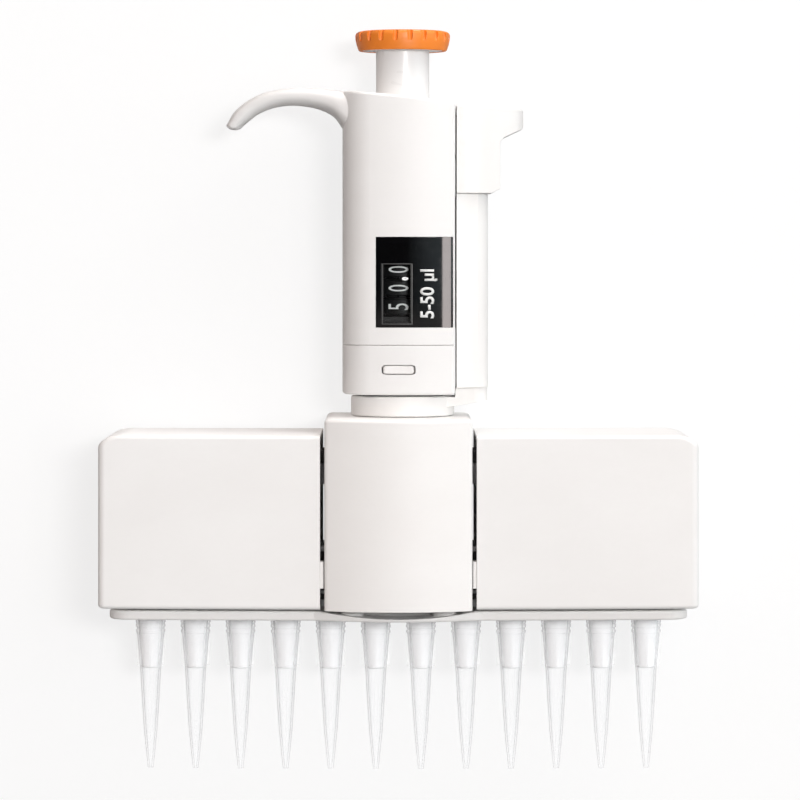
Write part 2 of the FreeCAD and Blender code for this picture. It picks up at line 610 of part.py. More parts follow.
def ejector_arm():
    # hollow back
    arm = arm_blank().cut(box(ARM_X0 - 1, ARM_X1 - 1.8, -5.6, 5.6, ARM_Z0 + 2.0, ARM_HOLLOW_Z1))
    # narrower tongue entering the button
    tongue = box(*TONGUE_X, -4.0, 4.0, BUTTON_Z0 - 1, 221)
    arm = arm.cut(box(10, 20, -9, 9, BUTTON_Z0, 220).cut(tongue))
    # guide web, then the rib in the handle slot
    arm = arm.fuse(box(ARM_X0, ARM_X0 + 1.4, -WEB_Y, WEB_Y, ARM_Z0 + 2.0, ARM_HOLLOW_Z1))
    arm = arm.fuse(box(ARM_X0 - 1.9, ARM_X0 + 0.5, -WEB_Y, WEB_Y, 160.2, HEAD_Z1))
    # T head inside the wall
    arm = arm.fuse([box(ARM_X0 - 2.2, ARM_X0, -WEB_Y, WEB_Y, HEAD_Z0, HEAD_Z1),
                    box(7.2, 8.9, -3.4, 3.4, HEAD_Z0, HEAD_Z1),
                    box(8.8, ARM_X0, -WEB_Y, WEB_Y, HEAD_Z0, HEAD_Z1)])
    return arm.cut(ycyl(PIN_R, -9, 9, *PIN_AT)).removeSplitter()


def splined_solid(outline, z1):
    """spline through (x, y) points, closed by a straight line"""
    points = [Vector(x, y, BUTTON_BASE_Z) for x, y in outline]
    face = Part.Face(Part.Wire([spline(points), line(points[-1], points[0])]))
    return face.extrude(Vector(0, 0, z1 - BUTTON_BASE_Z))


def ejector_button():
    button = prism_y(BUTTON_PROFILE, -9.6, 9.6).common(splined_solid(BUTTON_PLAN, 245))
    top = [e for e in button.Edges
           if near(e.CenterOfMass.z, 240.2, 1.2) and e.CenterOfMass.x > ARM_X0 + 0.3]
    button = soften(button, top, [1.6, 1.2, 0.8, 0.5])
    lip = [e for e in button.Edges
           if e.BoundBox.ZLength < 0.6 and near(e.CenterOfMass.z, 232.3, 0.3)]
    button = soften(button, lip, [0.8, 0.5])
    button = button.cut(splined_solid(BUTTON_CAVITY, BUTTON_CAVITY_Z1))
    # cheeks that grip the tongue and carry the pin
    button = button.fuse([box(*CHEEK_X, *span(side, *CHEEK_Y), *CHEEK_Z) for side in SIDES])
    return button.cut(ejector_pin()).removeSplitter()


def ejector_pin():
    return ycyl(PIN_R, -PIN_HALF, PIN_HALF, *PIN_AT)


save_upper("ejector_ring", ejector_ring())
save_upper("ejector_arm", ejector_arm())
save_upper("ejector_pin", ejector_pin())
save_upper("ejector_button", ejector_button())
save_upper("ejector_spring", spring(2.3, 0.32, SHELF_Z1, BUTTON_CAVITY_Z1, 7, EJECTOR_SPRING_X))

# ================================================================ HANDLE SECTION
H_LEFT, H_RIGHT = -11.5, 10.8
H_FRONT = 12.7
FRONT_R, FRONT_CX = 40.0, 1.5      # shallow front and back arcs
ROUND_R, ROUND_X = 6.5, -6.0       # left rounding, and where it meets the front arc


def handle_outline(inset, right_x, corner_r, z):
    """closed wire of the handle section, inset inside the outer skin.
    Long shallow arcs at front, back and left, rounding between them on the left,
    flat right side where the ejector slide runs."""
    # worked out on the +Y half and mirrored; cy is negative of the arc's rise
    cy = FRONT_R - H_FRONT
    meet_y = cy - math.sqrt(FRONT_R ** 2 - (ROUND_X - FRONT_CX) ** 2)
    nx, ny = (ROUND_X - FRONT_CX) / FRONT_R, (meet_y - cy) / FRONT_R
    # left rounding: internally tangent to the front arc
    round_cx, round_cy = ROUND_X - ROUND_R * nx, meet_y - ROUND_R * ny
    # left arc through x = H_LEFT, centred on y = 0, tangent to the rounding
    gap = H_LEFT - round_cx
    left_r = (ROUND_R ** 2 - gap ** 2 - round_cy ** 2) / (2 * (ROUND_R + gap))
    left_cx = H_LEFT + left_r
    dist = math.hypot(round_cx - left_cx, round_cy)
    left_end = (left_cx + (round_cx - left_cx) / dist * (left_r - inset),
                round_cy / dist * (left_r - inset))
    front_left = (round_cx + nx * (ROUND_R - inset), round_cy + ny * (ROUND_R - inset))
    # right corner: between the front arc and the flat
    front_r = FRONT_R - inset
    corner_x = right_x - corner_r
    corner_y = cy - math.sqrt((front_r - corner_r) ** 2 - (corner_x - FRONT_CX) ** 2)
    front_right = (FRONT_CX + (corner_x - FRONT_CX) / (front_r - corner_r) * front_r,
                   cy + (corner_y - cy) / (front_r - corner_r) * front_r)
    flat_end = (right_x, corner_y)

    def swing(cx, cy, r, start, end):
        """the shorter arc between two points about a centre"""
        a0 = math.atan2(start[1] - cy, start[0] - cx)
        a1 = math.atan2(end[1] - cy, end[0] - cx)
        if a1 - a0 > math.pi:
            a1 -= 2 * math.pi
        if a0 - a1 > math.pi:
            a1 += 2 * math.pi
        mid = (a0 + a1) / 2
        return arc(Vector(*start, z), Vector(cx + r * math.cos(mid), cy + r * math.sin(mid), z),
                   Vector(*end, z))

    def back(point):
        return (point[0], -point[1])

    edges = [
        swing(corner_x, corner_y, corner_r, flat_end, front_right),
        swing(FRONT_CX, cy, front_r, front_right, front_left),
        swing(round_cx, round_cy, ROUND_R - inset, front_left, left_end),
        swing(left_cx, 0, left_r - inset, left_end, back(left_end)),
        swing(round_cx, -round_cy, ROUND_R - inset, back(left_end), back(front_left)),
        swing(FRONT_CX, -cy, front_r, back(front_left), back(front_right)),
        swing(corner_x, -corner_y, corner_r, back(front_right), back(flat_end)),
        line(Vector(*back(flat_end), z), Vector(*flat_end, z))]
    return Part.Wire(Part.__sortEdges__(edges))


def handle_solid(inset, right_x, corner_r, z0, z1):
    return Part.Face(handle_outline(inset, right_x, corner_r, z0)).extrude(Vector(0, 0, z1 - z0))


# ================================================================ HANDLE SHELL WITH FINGER HOOK
SLEEVE_Z0, SEAM_Z = 136.5, 154.5
SHELL_TOP = 226.0                  # straight part of the shell ends here
SHELL_WALL = 2.0
CAVITY_RIGHT, CAVITY_CORNER = 9.2, 0.3
CAVITY_Z0, CAVITY_Z1 = 160.5, 238.3
SLEEVE_BORE = 9.3
STEM_R = 5.3
SLEEVE_SCREWS = ((-6.5, 8.6), (-6.5, -8.6), (7.4, 8.7), (7.4, -8.7))
SLEEVE_SCREW_R, SLEEVE_SEAT_Z = 0.9, 138.3
SEAT_Z0, SEAT_Z1 = 190.5, 194.0    # plate the plunger springs stand on
WIN_X0, WIN_X1 = -4.8, 10.4        # display window
WIN_Z0, WIN_Z1 = 160.7, 193.2
WIN_T = 1.2
SUB_X0, SUB_X1 = -3.7, 2.5         # counter lens inside it
SUB_Z0, SUB_Z1 = 161.8, 183.7
# side view of the crown, (x, z): along the top, then the underside of the hook
CROWN_TOP = [
    (-34.8, 233.4), (-34.4, 235.6), (-33.1, 238.5), (-30.8, 242.1), (-27.6, 245.2),
    (-23.9, 246.8), (-20.3, 247.3), (-16.1, 247.0), (-11.5, 246.2), (-4.6, 244.8),
    (5.0, 243.0), (10.0, 241.4), (12.0, 240.7)]
CROWN_LOW = [
    (-11.6, SHELL_TOP), (-11.5, 230.5), (-11.9, 234.3), (-14.3, 238.1), (-17.5, 240.2),
    (-20.7, 241.0), (-23.9, 240.8), (-26.7, 239.3), (-29.4, 236.8), (-31.3, 233.9),
    (-32.5, 232.0)]
# hook cross sections along its curve: outer x, z, inner x, z, half width
HOOK_STATIONS = [
    (-3.0, 244.2, -6.0, 226.0, 8.6), (-7.5, 245.4, -9.3, 227.8, 9.3),
    (-11.5, 246.2, -11.3, 232.0, 8.9), (-15.4, 246.9, -13.3, 236.9, 8.0),
    (-19.6, 247.3, -16.6, 239.8, 7.3), (-23.9, 246.8, -20.9, 241.0, 6.8),
    (-27.6, 245.2, -24.7, 240.4, 6.3), (-30.8, 242.1, -28.0, 238.2, 5.7),
    (-33.1, 238.5, -30.2, 235.3, 5.1), (-34.4, 234.5, -31.9, 232.6, 4.4)]
HOOK_STEPS = 4                     # sections per station interval
HOOK_DOME = 0.85                   # dome length over end half height
DOME_ANGLES = (20, 38, 54, 67, 78, 85)
SECTION_POINTS = 28
OUTER_POWER, INNER_POWER = 0.62, 0.90      # fuller above, rounder below


def crown():
    def in_plane(points):
        return [Vector(x, -20, z) for x, z in points]

    hook_end = arc(*in_plane([CROWN_LOW[-1], (-34.2, 231.8), CROWN_TOP[0]]))
    closing = in_plane([CROWN_TOP[-1], (12.0, SHELL_TOP), CROWN_LOW[0]])
    edges = [spline(in_plane(CROWN_TOP)), spline(in_plane(CROWN_LOW)), hook_end]
    edges += [line(a, b) for a, b in zip(closing, closing[1:])]
    side_view = Part.Face(Part.Wire(Part.__sortEdges__(edges))).extrude(Vector(0, 40, 0))
    body = side_view.common(handle_solid(0, H_RIGHT, 1.0, 220, 260))
    rim = []
    for e in body.Edges:
        c = e.CenterOfMass
        if c.z > 240.5 and (abs(c.y) > 6 or c.x > 10 or c.x < -9):
            rim.append(e)
    return soften(body, rim, [1.8, 1.4, 1.0, 0.7, 0.5])


def hook_section(outer_x, outer_z, inner_x, inner_z, half_width):
    """closed curve across the hook"""
    cx, cz = (outer_x + inner_x) / 2, (outer_z + inner_z) / 2
    ux, uz = (outer_x - inner_x) / 2, (outer_z - inner_z) / 2
    points = []
    for k in range(SECTION_POINTS):
        angle = 2 * math.pi * k / SECTION_POINTS
        c, s = math.cos(angle), math.sin(angle)
        power = OUTER_POWER if s > 0 else INNER_POWER
        y = half_width * math.copysign(abs(c) ** power, c)
        rise = math.copysign(abs(s) ** power, s)
        points.append(Vector(cx + ux * rise, y, cz + uz * rise))
    curve = Part.BSplineCurve()
    curve.interpolate(points, PeriodicFlag=True)
    return Part.Wire([curve.toShape()])


def between(p0, p1, p2, p3, t):
    """smooth value between p1 and p2"""
    return 0.5 * (2 * p1 + (p2 - p0) * t + (2 * p0 - 5 * p1 + 4 * p2 - p3) * t * t
                  + (3 * p1 - p0 - 3 * p2 + p3) * t ** 3)


def beyond(end, neighbour):
    return tuple(2 * a - b for a, b in zip(end, neighbour))


def hook_rows():
    """interpolated stations, then the domed end"""
    stations = HOOK_STATIONS
    padded = [beyond(stations[0], stations[1])] + stations + [beyond(stations[-1], stations[-2])]
    rows = []
    for i in range(1, len(padded) - 2):
        for k in range(HOOK_STEPS):
            rows.append([between(*c, k / HOOK_STEPS) for c in zip(*padded[i - 1:i + 3])])
    rows.append(stations[-1])
    # the last section shrinks along the hook's direction
    outer_x, outer_z, inner_x, inner_z, width = rows[-1]
    cx, cz = (outer_x + inner_x) / 2, (outer_z + inner_z) / 2
    ux, uz = (outer_x - inner_x) / 2, (outer_z - inner_z) / 2
    end_r = math.hypot(ux, uz)
    dx, dz = -uz / end_r, ux / end_r
    if dz > 0:
        dx, dz = -dx, -dz
    for degrees in DOME_ANGLES:
        c = math.cos(math.radians(degrees))
        out = math.sin(math.radians(degrees)) * end_r * HOOK_DOME
        rows.append([cx + dx * out + ux * c, cz + dz * out + uz * c,
                     cx + dx * out - ux * c, cz + dz * out - uz * c, width - end_r * (1 - c)])
    return rows


def finger_hook():
    rings = [hook_section(*row) for row in hook_rows()]
    strips = [Part.makeRuledSurface(a.Edges[0], b.Edges[0], 1) for a, b in zip(rings, rings[1:])]
    skin = Part.Shell([f for strip in strips for f in strip.Faces]
                      + [Part.Face(rings[0]), Part.Face(rings[-1])])
    skin.sewShape()
    hook = Part.Solid(skin.Shells[0])
    if hook.Volume < 0:        # depends on which way the skin faces
        hook.reverse()
    return hook


def handle_shell():
    shell = handle_solid(0, H_RIGHT, 1.0, SEAM_Z, SHELL_TOP)
    shell = shell.fuse([crown(), finger_hook()]).removeSplitter()
    shell = shell.cut(handle_solid(SHELL_WALL, CAVITY_RIGHT, CAVITY_CORNER, CAVITY_Z0, CAVITY_Z1))
    tools = [hole(SLEEVE_BORE, UPPER_X, z1=CAVITY_Z0 + 0.1),
             hole(STEM_R + FIT, UPPER_X, z0=CAVITY_Z1 - 1)]
    # display recess and counter opening
    recess = handle_solid(-1.0, H_RIGHT + 1.0, 2.0, WIN_Z0, WIN_Z1)
    recess = recess.cut(handle_solid(WIN_T, H_RIGHT - 0.4, 0.5, WIN_Z0 - 1, WIN_Z1 + 1))
    tools.append(recess.common(box(WIN_X0, WIN_X1, -14, -5, WIN_Z0, WIN_Z1)))
    tools.append(box(SUB_X0 - 0.6, SUB_X1 + 0.6, -14, -9.0, SUB_Z0 - 0.6, SUB_Z1 + 1.6))
    # slot for the ejector rib, wide pocket for its head
    tools.append(box(9.0, 12.0, -1.6, 1.6, 153.0, 209.0))
    tools.append(box(8.9, 9.4, -3.6, 3.6, 196.0, 209.0))
    tools += [hole(SLEEVE_SCREW_R, x, y, z1=160.0) for x, y in SLEEVE_SCREWS]
    shell = cut_all(shell, tools)
    # shelf the ejector spring stands on, with a locating peg
    shelf = box(9.6, 17.6, -2.9, 2.9, SHELF_Z1 - 1.8, SHELF_Z1)
    shelf = soften(shelf, [e for e in upright_edges(shelf, 1) if e.BoundBox.XMin > 17.5], [2.0])
    peg = cyl(1.7, SHELF_Z1 - 0.2, 225.0, EJECTOR_SPRING_X)
    shell = shell.fuse(shelf).fuse(peg).removeSplitter()
    # ribs that carry the spring seat, back and left
    return shell.fuse([box(-4, 4, 9.8, 11.5, 187.6, SEAT_Z0),
                       box(-9.8, -8.4, -3, 3, 187.6, SEAT_Z0)]).removeSplitter()


def window_plate():
    """curved plate filling the window, flush with the front"""
    z0, z1 = WIN_Z0 + 0.05, WIN_Z1 - 0.05
    plate = handle_solid(0, H_RIGHT, 1.0, z0, z1)
    plate = plate.cut(handle_solid(WIN_T - 0.02, H_RIGHT - 0.35, 0.5, WIN_Z0 - 1, WIN_Z1 + 1))
    return plate.common(box(WIN_X0 + 0.05, WIN_X1 - 0.05, -14, -5, WIN_Z0, WIN_Z1))


def lens_zone():
    return box(SUB_X0, SUB_X1, -15, -5, SUB_Z0, SUB_Z1)


def counter_lens():
    lens = window_plate().common(lens_zone())
    lens = lens.common(handle_solid(0.25, H_RIGHT, 0.8, WIN_Z0, WIN_Z1))
    return lens.cut(handle_solid(0.85, H_RIGHT, 0.6, WIN_Z0 - 1, WIN_Z1 + 1))


save_upper("handle_shell", handle_shell())
save_upper("display_panel", window_plate().cut(lens_zone()))
save_upper("counter_lens", counter_lens())

# ================================================================ LOWER SLEEVE, BUSH, LATCH
SLEEVE_Z1 = SEAM_Z - 0.15
LATCH_W, LATCH_H = 6.1, 3.0
LATCH_GAP = 0.5                    # total, in width and in height
LATCH_AT = (-0.3, 145.6)           # x, z
LATCH_FRONT = -12.55


def lower_sleeve():
    sleeve = handle_solid(0, H_RIGHT, 1.0, SLEEVE_Z0, SLEEVE_Z1)
    sleeve = soften(sleeve, edges_at_z(sleeve, SLEEVE_Z0), [0.9, 0.7, 0.5])
    sleeve = soften(sleeve, edges_at_z(sleeve, SLEEVE_Z1), [0.25])
    tools = [hole(SLEEVE_BORE, UPPER_X),
             slab_xz(LATCH_W + LATCH_GAP, LATCH_H + LATCH_GAP, 1.0, -14, -10.0, *LATCH_AT)]
    for x, y in SLEEVE_SCREWS:
        tools.append(hole(SLEEVE_SCREW_R, x, y))
        tools.append(hole(1.6, x, y, z1=SLEEVE_SEAT_Z))
    return cut_all(sleeve, tools)


def release_latch():
    latch = slab_xz(LATCH_W, LATCH_H, 0.8, LATCH_FRONT, -10.95, *LATCH_AT)
    rim = [e for e in latch.Edges if near(e.CenterOfMass.y, LATCH_FRONT, 0.01)]
    return soften(latch, rim, [0.4, 0.3])


save_upper("lower_sleeve", lower_sleeve())
save_upper("sleeve_screws",
           screws(SLEEVE_SCREWS, shank_r=SLEEVE_SCREW_R, tip_z=159.5, head_r=1.55,
                  seat_z=SLEEVE_SEAT_Z, head_z=137.3, slot=(1.2, 0.2), slot_depth=0.4,
                  cross=True))
save_upper("swivel_bush", tube(NECK_R + FIT, SLEEVE_BORE, 138.5, 150.6, UPPER_X))
save_upper("release_latch", release_latch())

# ================================================================ VOLUME COUNTER
WHEEL_R, WHEEL_BAND_R = 8.4, 7.2   # rim, and the full-height band inside it
TENS_Z, UNITS_Z, TENTHS_Z = 164.9, 171.6, 178.3
WHEEL_H = 6.4
WHEEL_STEP = 0.6                   # rim is this much short of the band at each end
WHEEL_NOTCHES = 20
NOTCH_R = 0.42
HUB_R, HUB_Z0, HUB_Z1 = 4.4, 158.0, 188.6
HUB_CLIP_R, HUB_CLIP_Z0, HUB_CLIP_Z1 = 3.9, 159.2, 160.2
FRAME_Z1 = 187.1
PINION_AT = (5.3, 8.3)             # x, y
PINION_R, PINION_TOOTH_R = 1.75, 1.85
PINION_SHAFT_R = 0.6


def cavity_slab(z0, z1):
    return handle_solid(SHELL_WALL + FIT, CAVITY_RIGHT - FIT, CAVITY_CORNER, z0, z1)


def hexagon(corner_r, z0, z1):
    points = [Vector(x, y, z0) for x, y in points_around(6, corner_r, UPPER_X)]
    return polygon(points).extrude(Vector(0, 0, z1 - z0))


def counter_frame():
    spine = box(-6.0, 2.5, 8.8, 10.6, CAVITY_Z0, FRAME_Z1).common(cavity_slab(CAVITY_Z0, FRAME_Z1))
    frame = cavity_slab(CAVITY_Z0, 164.5).fuse([cavity_slab(185.1, FRAME_Z1), spine])
    return cut_all(frame.removeSplitter(), [
        hole(HUB_R + FIT, UPPER_X), hole(PINION_SHAFT_R, *PINION_AT),
        box(-5.5, 4.5, -12, -8.9, 163.0, 200)])


def drive_hub():
    hub = cyl(HUB_R, HUB_Z0, HUB_Z1, UPPER_X).fuse(cyl(5.6, FRAME_Z1 + 0.05, HUB_Z1, UPPER_X))
    hub = hub.cut(hexagon(5.1 / math.sqrt(3.0), 150, 200))     # 5.1 across the flats
    return hub.cut(tube(HUB_CLIP_R, 6.0, HUB_CLIP_Z0, HUB_CLIP_Z1, UPPER_X)).removeSplitter()


def wheel(z0, bore):
    body = cyl(WHEEL_R, z0 + WHEEL_STEP, z0 + WHEEL_H - WHEEL_STEP, UPPER_X)
    body = body.fuse(cyl(WHEEL_BAND_R, z0, z0 + WHEEL_H, UPPER_X)).removeSplitter()
    rims = [e for e in body.Edges
            if near(e.BoundBox.XLength, 2 * WHEEL_R, 0.05) and e.BoundBox.ZLength < 0.01]
    body = soften(body, rims, [0.25])
    body = body.cut(cyl(bore, z0 - 1, z0 + 10, UPPER_X))
    notches = points_around(WHEEL_NOTCHES, WHEEL_BAND_R, UPPER_X, phase=0.5)
    return cut_all(body, [cyl(NOTCH_R, z0 - 0.5, z0 + WHEEL_STEP, x, y) for x, y in notches])


def pinion(lower_wheel_z, upper_wheel_z):
    """small gear reaching slightly into the wheels below and above it"""
    z0, z1 = lower_wheel_z + WHEEL_H - 0.45, upper_wheel_z + 0.45
    gaps = [cyl(NOTCH_R, z0 - 1, z1 + 1, x, y)
            for x, y in points_around(8, PINION_TOOTH_R, *PINION_AT)]
    bore = cyl(0.66, z0 - 1, z1 + 1, *PINION_AT)
    return cut_all(cyl(PINION_R, z0, z1, *PINION_AT), gaps + [bore])


save_upper("counter_frame", counter_frame())
save_upper("drive_hub", drive_hub())
save_upper("hub_clip", tube(HUB_CLIP_R, 5.6, HUB_CLIP_Z0, HUB_CLIP_Z1, UPPER_X).cut(
    box(UPPER_X - 0.8, UPPER_X + 0.8, 2, 8, 159, 161)))
save_upper("wheel_tenths", wheel(TENTHS_Z, HUB_R))
save_upper("wheel_units", wheel(UNITS_Z, HUB_R + FIT))
save_upper("wheel_tens", wheel(TENS_Z, HUB_R + FIT))
save_upper("carry_pinion_low", pinion(TENS_Z, UNITS_Z))
save_upper("carry_pinion_high", pinion(UNITS_Z, TENTHS_Z))
save_upper("pinion_shaft", cyl(PINION_SHAFT_R, 161.0, 187.0, *PINION_AT))

# ================================================================ PLUNGER, SPRINGS, KNOB
COLLAR_Z = 225.5                   # flange face the primary spring pushes on
WASHER_Z0, WASHER_Z1 = 203.1, 203.9
SHAFT_R, SHAFT_LOW_R = 3.0, 2.4
SHAFT_Z0, SHAFT_HEX_Z0, SHAFT_HEX_Z1, SHAFT_Z1 = 115.0, 158.0, 206.0, 264.6
STEM_TOP = 262.4
KNOB_R = 9.45
KNOB_Z0, KNOB_Z1 = 260.7, 268.0
KNOB_NOTCHES = 20
KNOB_LEAN = 0.13                   # notches lean inward, x over z
# (r, z) profiles
COLLAR_PROFILE = [(3.05, 216.0), (4.4, 216.0), (4.4, COLLAR_Z), (7.4, COLLAR_Z), (7.4, 227.4),
                  (6.9, 227.9), (3.05, 227.9)]
FOOT_PROFILE = [(0, CLAMP_Z1), (2.7, CLAMP_Z1), (3.1, 112.0), (3.1, 119.0), (SHAFT_LOW_R, 119.0),
                (SHAFT_LOW_R, SHAFT_Z0), (0, SHAFT_Z0)]
STEM_PROFILE = [(SHAFT_R, 228.0), (STEM_R, 228.0), (STEM_R, 260.9), (8.0, 260.9), (8.2, 261.2),
                (8.2, STEM_TOP), (SHAFT_R, STEM_TOP)]
KNOB_PROFILE = [
    (8.25, 260.95), (8.45, KNOB_Z0), (8.62, 260.75), (8.80, 261.0), (8.98, 261.8),
    (9.22, 263.2), (9.40, 264.8), (KNOB_R, 266.0), (9.42, 266.6), (9.25, 267.2),
    (8.90, 267.65), (8.3, 267.9), (6.5, KNOB_Z1), (6.0, 267.75), (0, 267.75),
    (0, 264.7), (4.2, 264.7), (4.2, 262.45), (8.25, 262.45)]


def drive_shaft():
    flats = hexagon(5.0 / math.sqrt(3.0), SHAFT_HEX_Z0, SHAFT_HEX_Z1)      # 5.0 across them
    low = cyl(SHAFT_LOW_R, SHAFT_Z0, SHAFT_HEX_Z0, UPPER_X)
    return cyl(SHAFT_R, SHAFT_HEX_Z1, SHAFT_Z1, UPPER_X).fuse([flats, low]).removeSplitter()


def knob_cap():
    notches = []
    for x, y in points_around(KNOB_NOTCHES, 1.0, 0.0, phase=0.5):
        foot = Vector(UPPER_X + (KNOB_R + 0.12) * x, (KNOB_R + 0.12) * y, 264.0)
        notches.append(Part.makeCone(0.46, 0.62, 5.0, foot, Vector(-KNOB_LEAN * x, -KNOB_LEAN * y, 1)))
    return cut_all(rev(KNOB_PROFILE, UPPER_X), notches)


save_upper("spring_seat", cut_all(cavity_slab(SEAT_Z0, SEAT_Z1), [
    hole(3.3, UPPER_X), box(7.0, 12, -3.7, 3.7, 180, 200)]))
save_upper("spring_collar", rev(COLLAR_PROFILE, UPPER_X))
save_upper("primary_spring", spring(5.95, 0.42, SEAT_Z1, COLLAR_Z, 9, UPPER_X))
save_upper("overshoot_spring", spring(4.98, 0.25, SEAT_Z1, WASHER_Z0, 6, UPPER_X))
save_upper("overshoot_washer", tube(4.5, 5.4, WASHER_Z0, WASHER_Z1, UPPER_X))
save_upper("drive_shaft", drive_shaft())
save_upper("push_foot", rev(FOOT_PROFILE, UPPER_X))
save_upper("knob_stem", rev(STEM_PROFILE, UPPER_X))
save_upper("knob_insert", hexagon(4.0, STEM_TOP, 264.4).cut(cyl(SHAFT_R, 260, 270, UPPER_X)))
save_upper("knob_cap", rev_knob() if False else knob_cap())
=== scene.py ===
# Twelve-channel pipette with tips: materials, printed digits, studio and camera
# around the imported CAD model. Metres, +Z up, front faces -Y.
import bpy
import bmesh
import json
import math
from mathutils import Vector, Matrix


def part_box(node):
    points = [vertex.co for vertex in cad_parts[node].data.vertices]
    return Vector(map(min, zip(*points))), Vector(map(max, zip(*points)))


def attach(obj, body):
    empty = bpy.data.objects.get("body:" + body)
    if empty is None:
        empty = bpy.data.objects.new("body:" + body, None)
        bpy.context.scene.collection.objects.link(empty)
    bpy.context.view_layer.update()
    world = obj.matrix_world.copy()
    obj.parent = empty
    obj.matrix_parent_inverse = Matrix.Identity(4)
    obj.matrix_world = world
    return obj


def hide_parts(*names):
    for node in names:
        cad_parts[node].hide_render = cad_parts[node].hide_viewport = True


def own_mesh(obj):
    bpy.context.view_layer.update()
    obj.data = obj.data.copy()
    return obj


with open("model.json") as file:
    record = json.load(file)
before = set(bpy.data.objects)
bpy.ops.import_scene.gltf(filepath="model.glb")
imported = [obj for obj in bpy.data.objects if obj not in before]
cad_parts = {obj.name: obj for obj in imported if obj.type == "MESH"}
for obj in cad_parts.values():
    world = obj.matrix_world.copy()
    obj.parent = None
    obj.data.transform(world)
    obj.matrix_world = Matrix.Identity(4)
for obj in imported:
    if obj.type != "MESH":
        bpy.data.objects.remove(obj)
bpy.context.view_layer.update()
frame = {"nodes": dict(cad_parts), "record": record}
scene = bpy.context.scene
MM = 0.001
AX = 0.85 * MM                     # axis of the swivel, wheels and plunger


# ------------------------------------------------------------------ node helpers
class Mat:
    """small wrapper that builds a node material"""

    def __init__(self, name):
        self.m = bpy.data.materials.new(name)
        self.m.use_nodes = True
        self.nt = self.m.node_tree
        self.nt.nodes.clear()
        self.out = self.n("ShaderNodeOutputMaterial")

    def n(self, kind, **kw):
        node = self.nt.nodes.new(kind)
        for k, v in kw.items():
            setattr(node, k, v)
        return node

    def link(self, a, b):
        self.nt.links.new(a, b)

    def coords(self, scale=(1, 1, 1)):
        tc = self.n("ShaderNodeTexCoord")
        mp = self.n("ShaderNodeMapping")
        mp.inputs["Scale"].default_value = scale
        self.link(tc.outputs["Object"], mp.inputs["Vector"])
        return mp.outputs["Vector"]

    def noise(self, vec, scale, detail=3.0, rough=0.55):
        t = self.n("ShaderNodeTexNoise")
        t.inputs["Scale"].default_value = scale
        t.inputs["Detail"].default_value = detail
        t.inputs["Roughness"].default_value = rough
        self.link(vec, t.inputs["Vector"])
        return t.outputs["Fac"]

    def ramp(self, fac, lo, hi, a, b):
        """map fac lo..hi to a..b"""
        r = self.n("ShaderNodeMapRange")
        r.inputs["From Min"].default_value = lo
        r.inputs["From Max"].default_value = hi
        r.inputs["To Min"].default_value = a
        r.inputs["To Max"].default_value = b
        self.link(fac, r.inputs["Value"])
        return r.outputs["Result"]

    def mix(self, fac, a, b, blend="MIX"):
        x = self.n("ShaderNodeMix", data_type="RGBA", blend_type=blend)
        for sock, val in ((x.inputs[0], fac), (x.inputs[6], a), (x.inputs[7], b)):
            if hasattr(val, "links") or hasattr(val, "is_linked"):
                self.link(val, sock)
            elif isinstance(val, (int, float)):
                sock.default_value = val
            else:
                sock.default_value = (*val, 1.0) if len(val) == 3 else val
        return x.outputs[2]

    def math(self, op, a, b=None):
        x = self.n("ShaderNodeMath", operation=op)
        for sock, val in ((x.inputs[0], a), (x.inputs[1], b)):
            if val is None:
                continue
            if hasattr(val, "is_linked"):
                self.link(val, sock)
            else:
                sock.default_value = val
        return x.outputs[0]

    def bump(self, height, strength, distance, normal=None):
        b = self.n("ShaderNodeBump")
        b.inputs["Strength"].default_value = strength
        b.inputs["Distance"].default_value = distance
        self.link(height, b.inputs["Height"])
        if normal is not None:
            self.link(normal, b.inputs["Normal"])
        return b.outputs["Normal"]

    def bevel(self, radius, samples=4):
        b = self.n("ShaderNodeBevel", samples=samples)
        b.inputs["Radius"].default_value = radius
        return b.outputs["Normal"]

    def principled(self, **kw):
        p = self.n("ShaderNodeBsdfPrincipled")
        for k, v in kw.items():
            s = p.inputs[k]
            if hasattr(v, "is_linked"):
                self.link(v, s)
            elif isinstance(v, (tuple, list)) and len(v) == 3 and s.type == "RGBA":
                s.default_value = (*v, 1.0)
            else:
                s.default_value = v
        self.link(p.outputs["BSDF"], self.out.inputs["Surface"])
        return p


def edge_mask(m, radius, samples=4):
    """1 on edges, 0 on flats: how far the bevelled normal leans from the true one"""
    bev = m.bevel(radius, samples)
    geo = m.n("ShaderNodeNewGeometry")
    dot = m.n("ShaderNodeVectorMath", operation="DOT_PRODUCT")
    m.link(bev, dot.inputs[0])
    m.link(geo.outputs["Normal"], dot.inputs[1])
    return bev, m.ramp(dot.outputs["Value"], 1.0, 0.86, 0.0, 1.0)


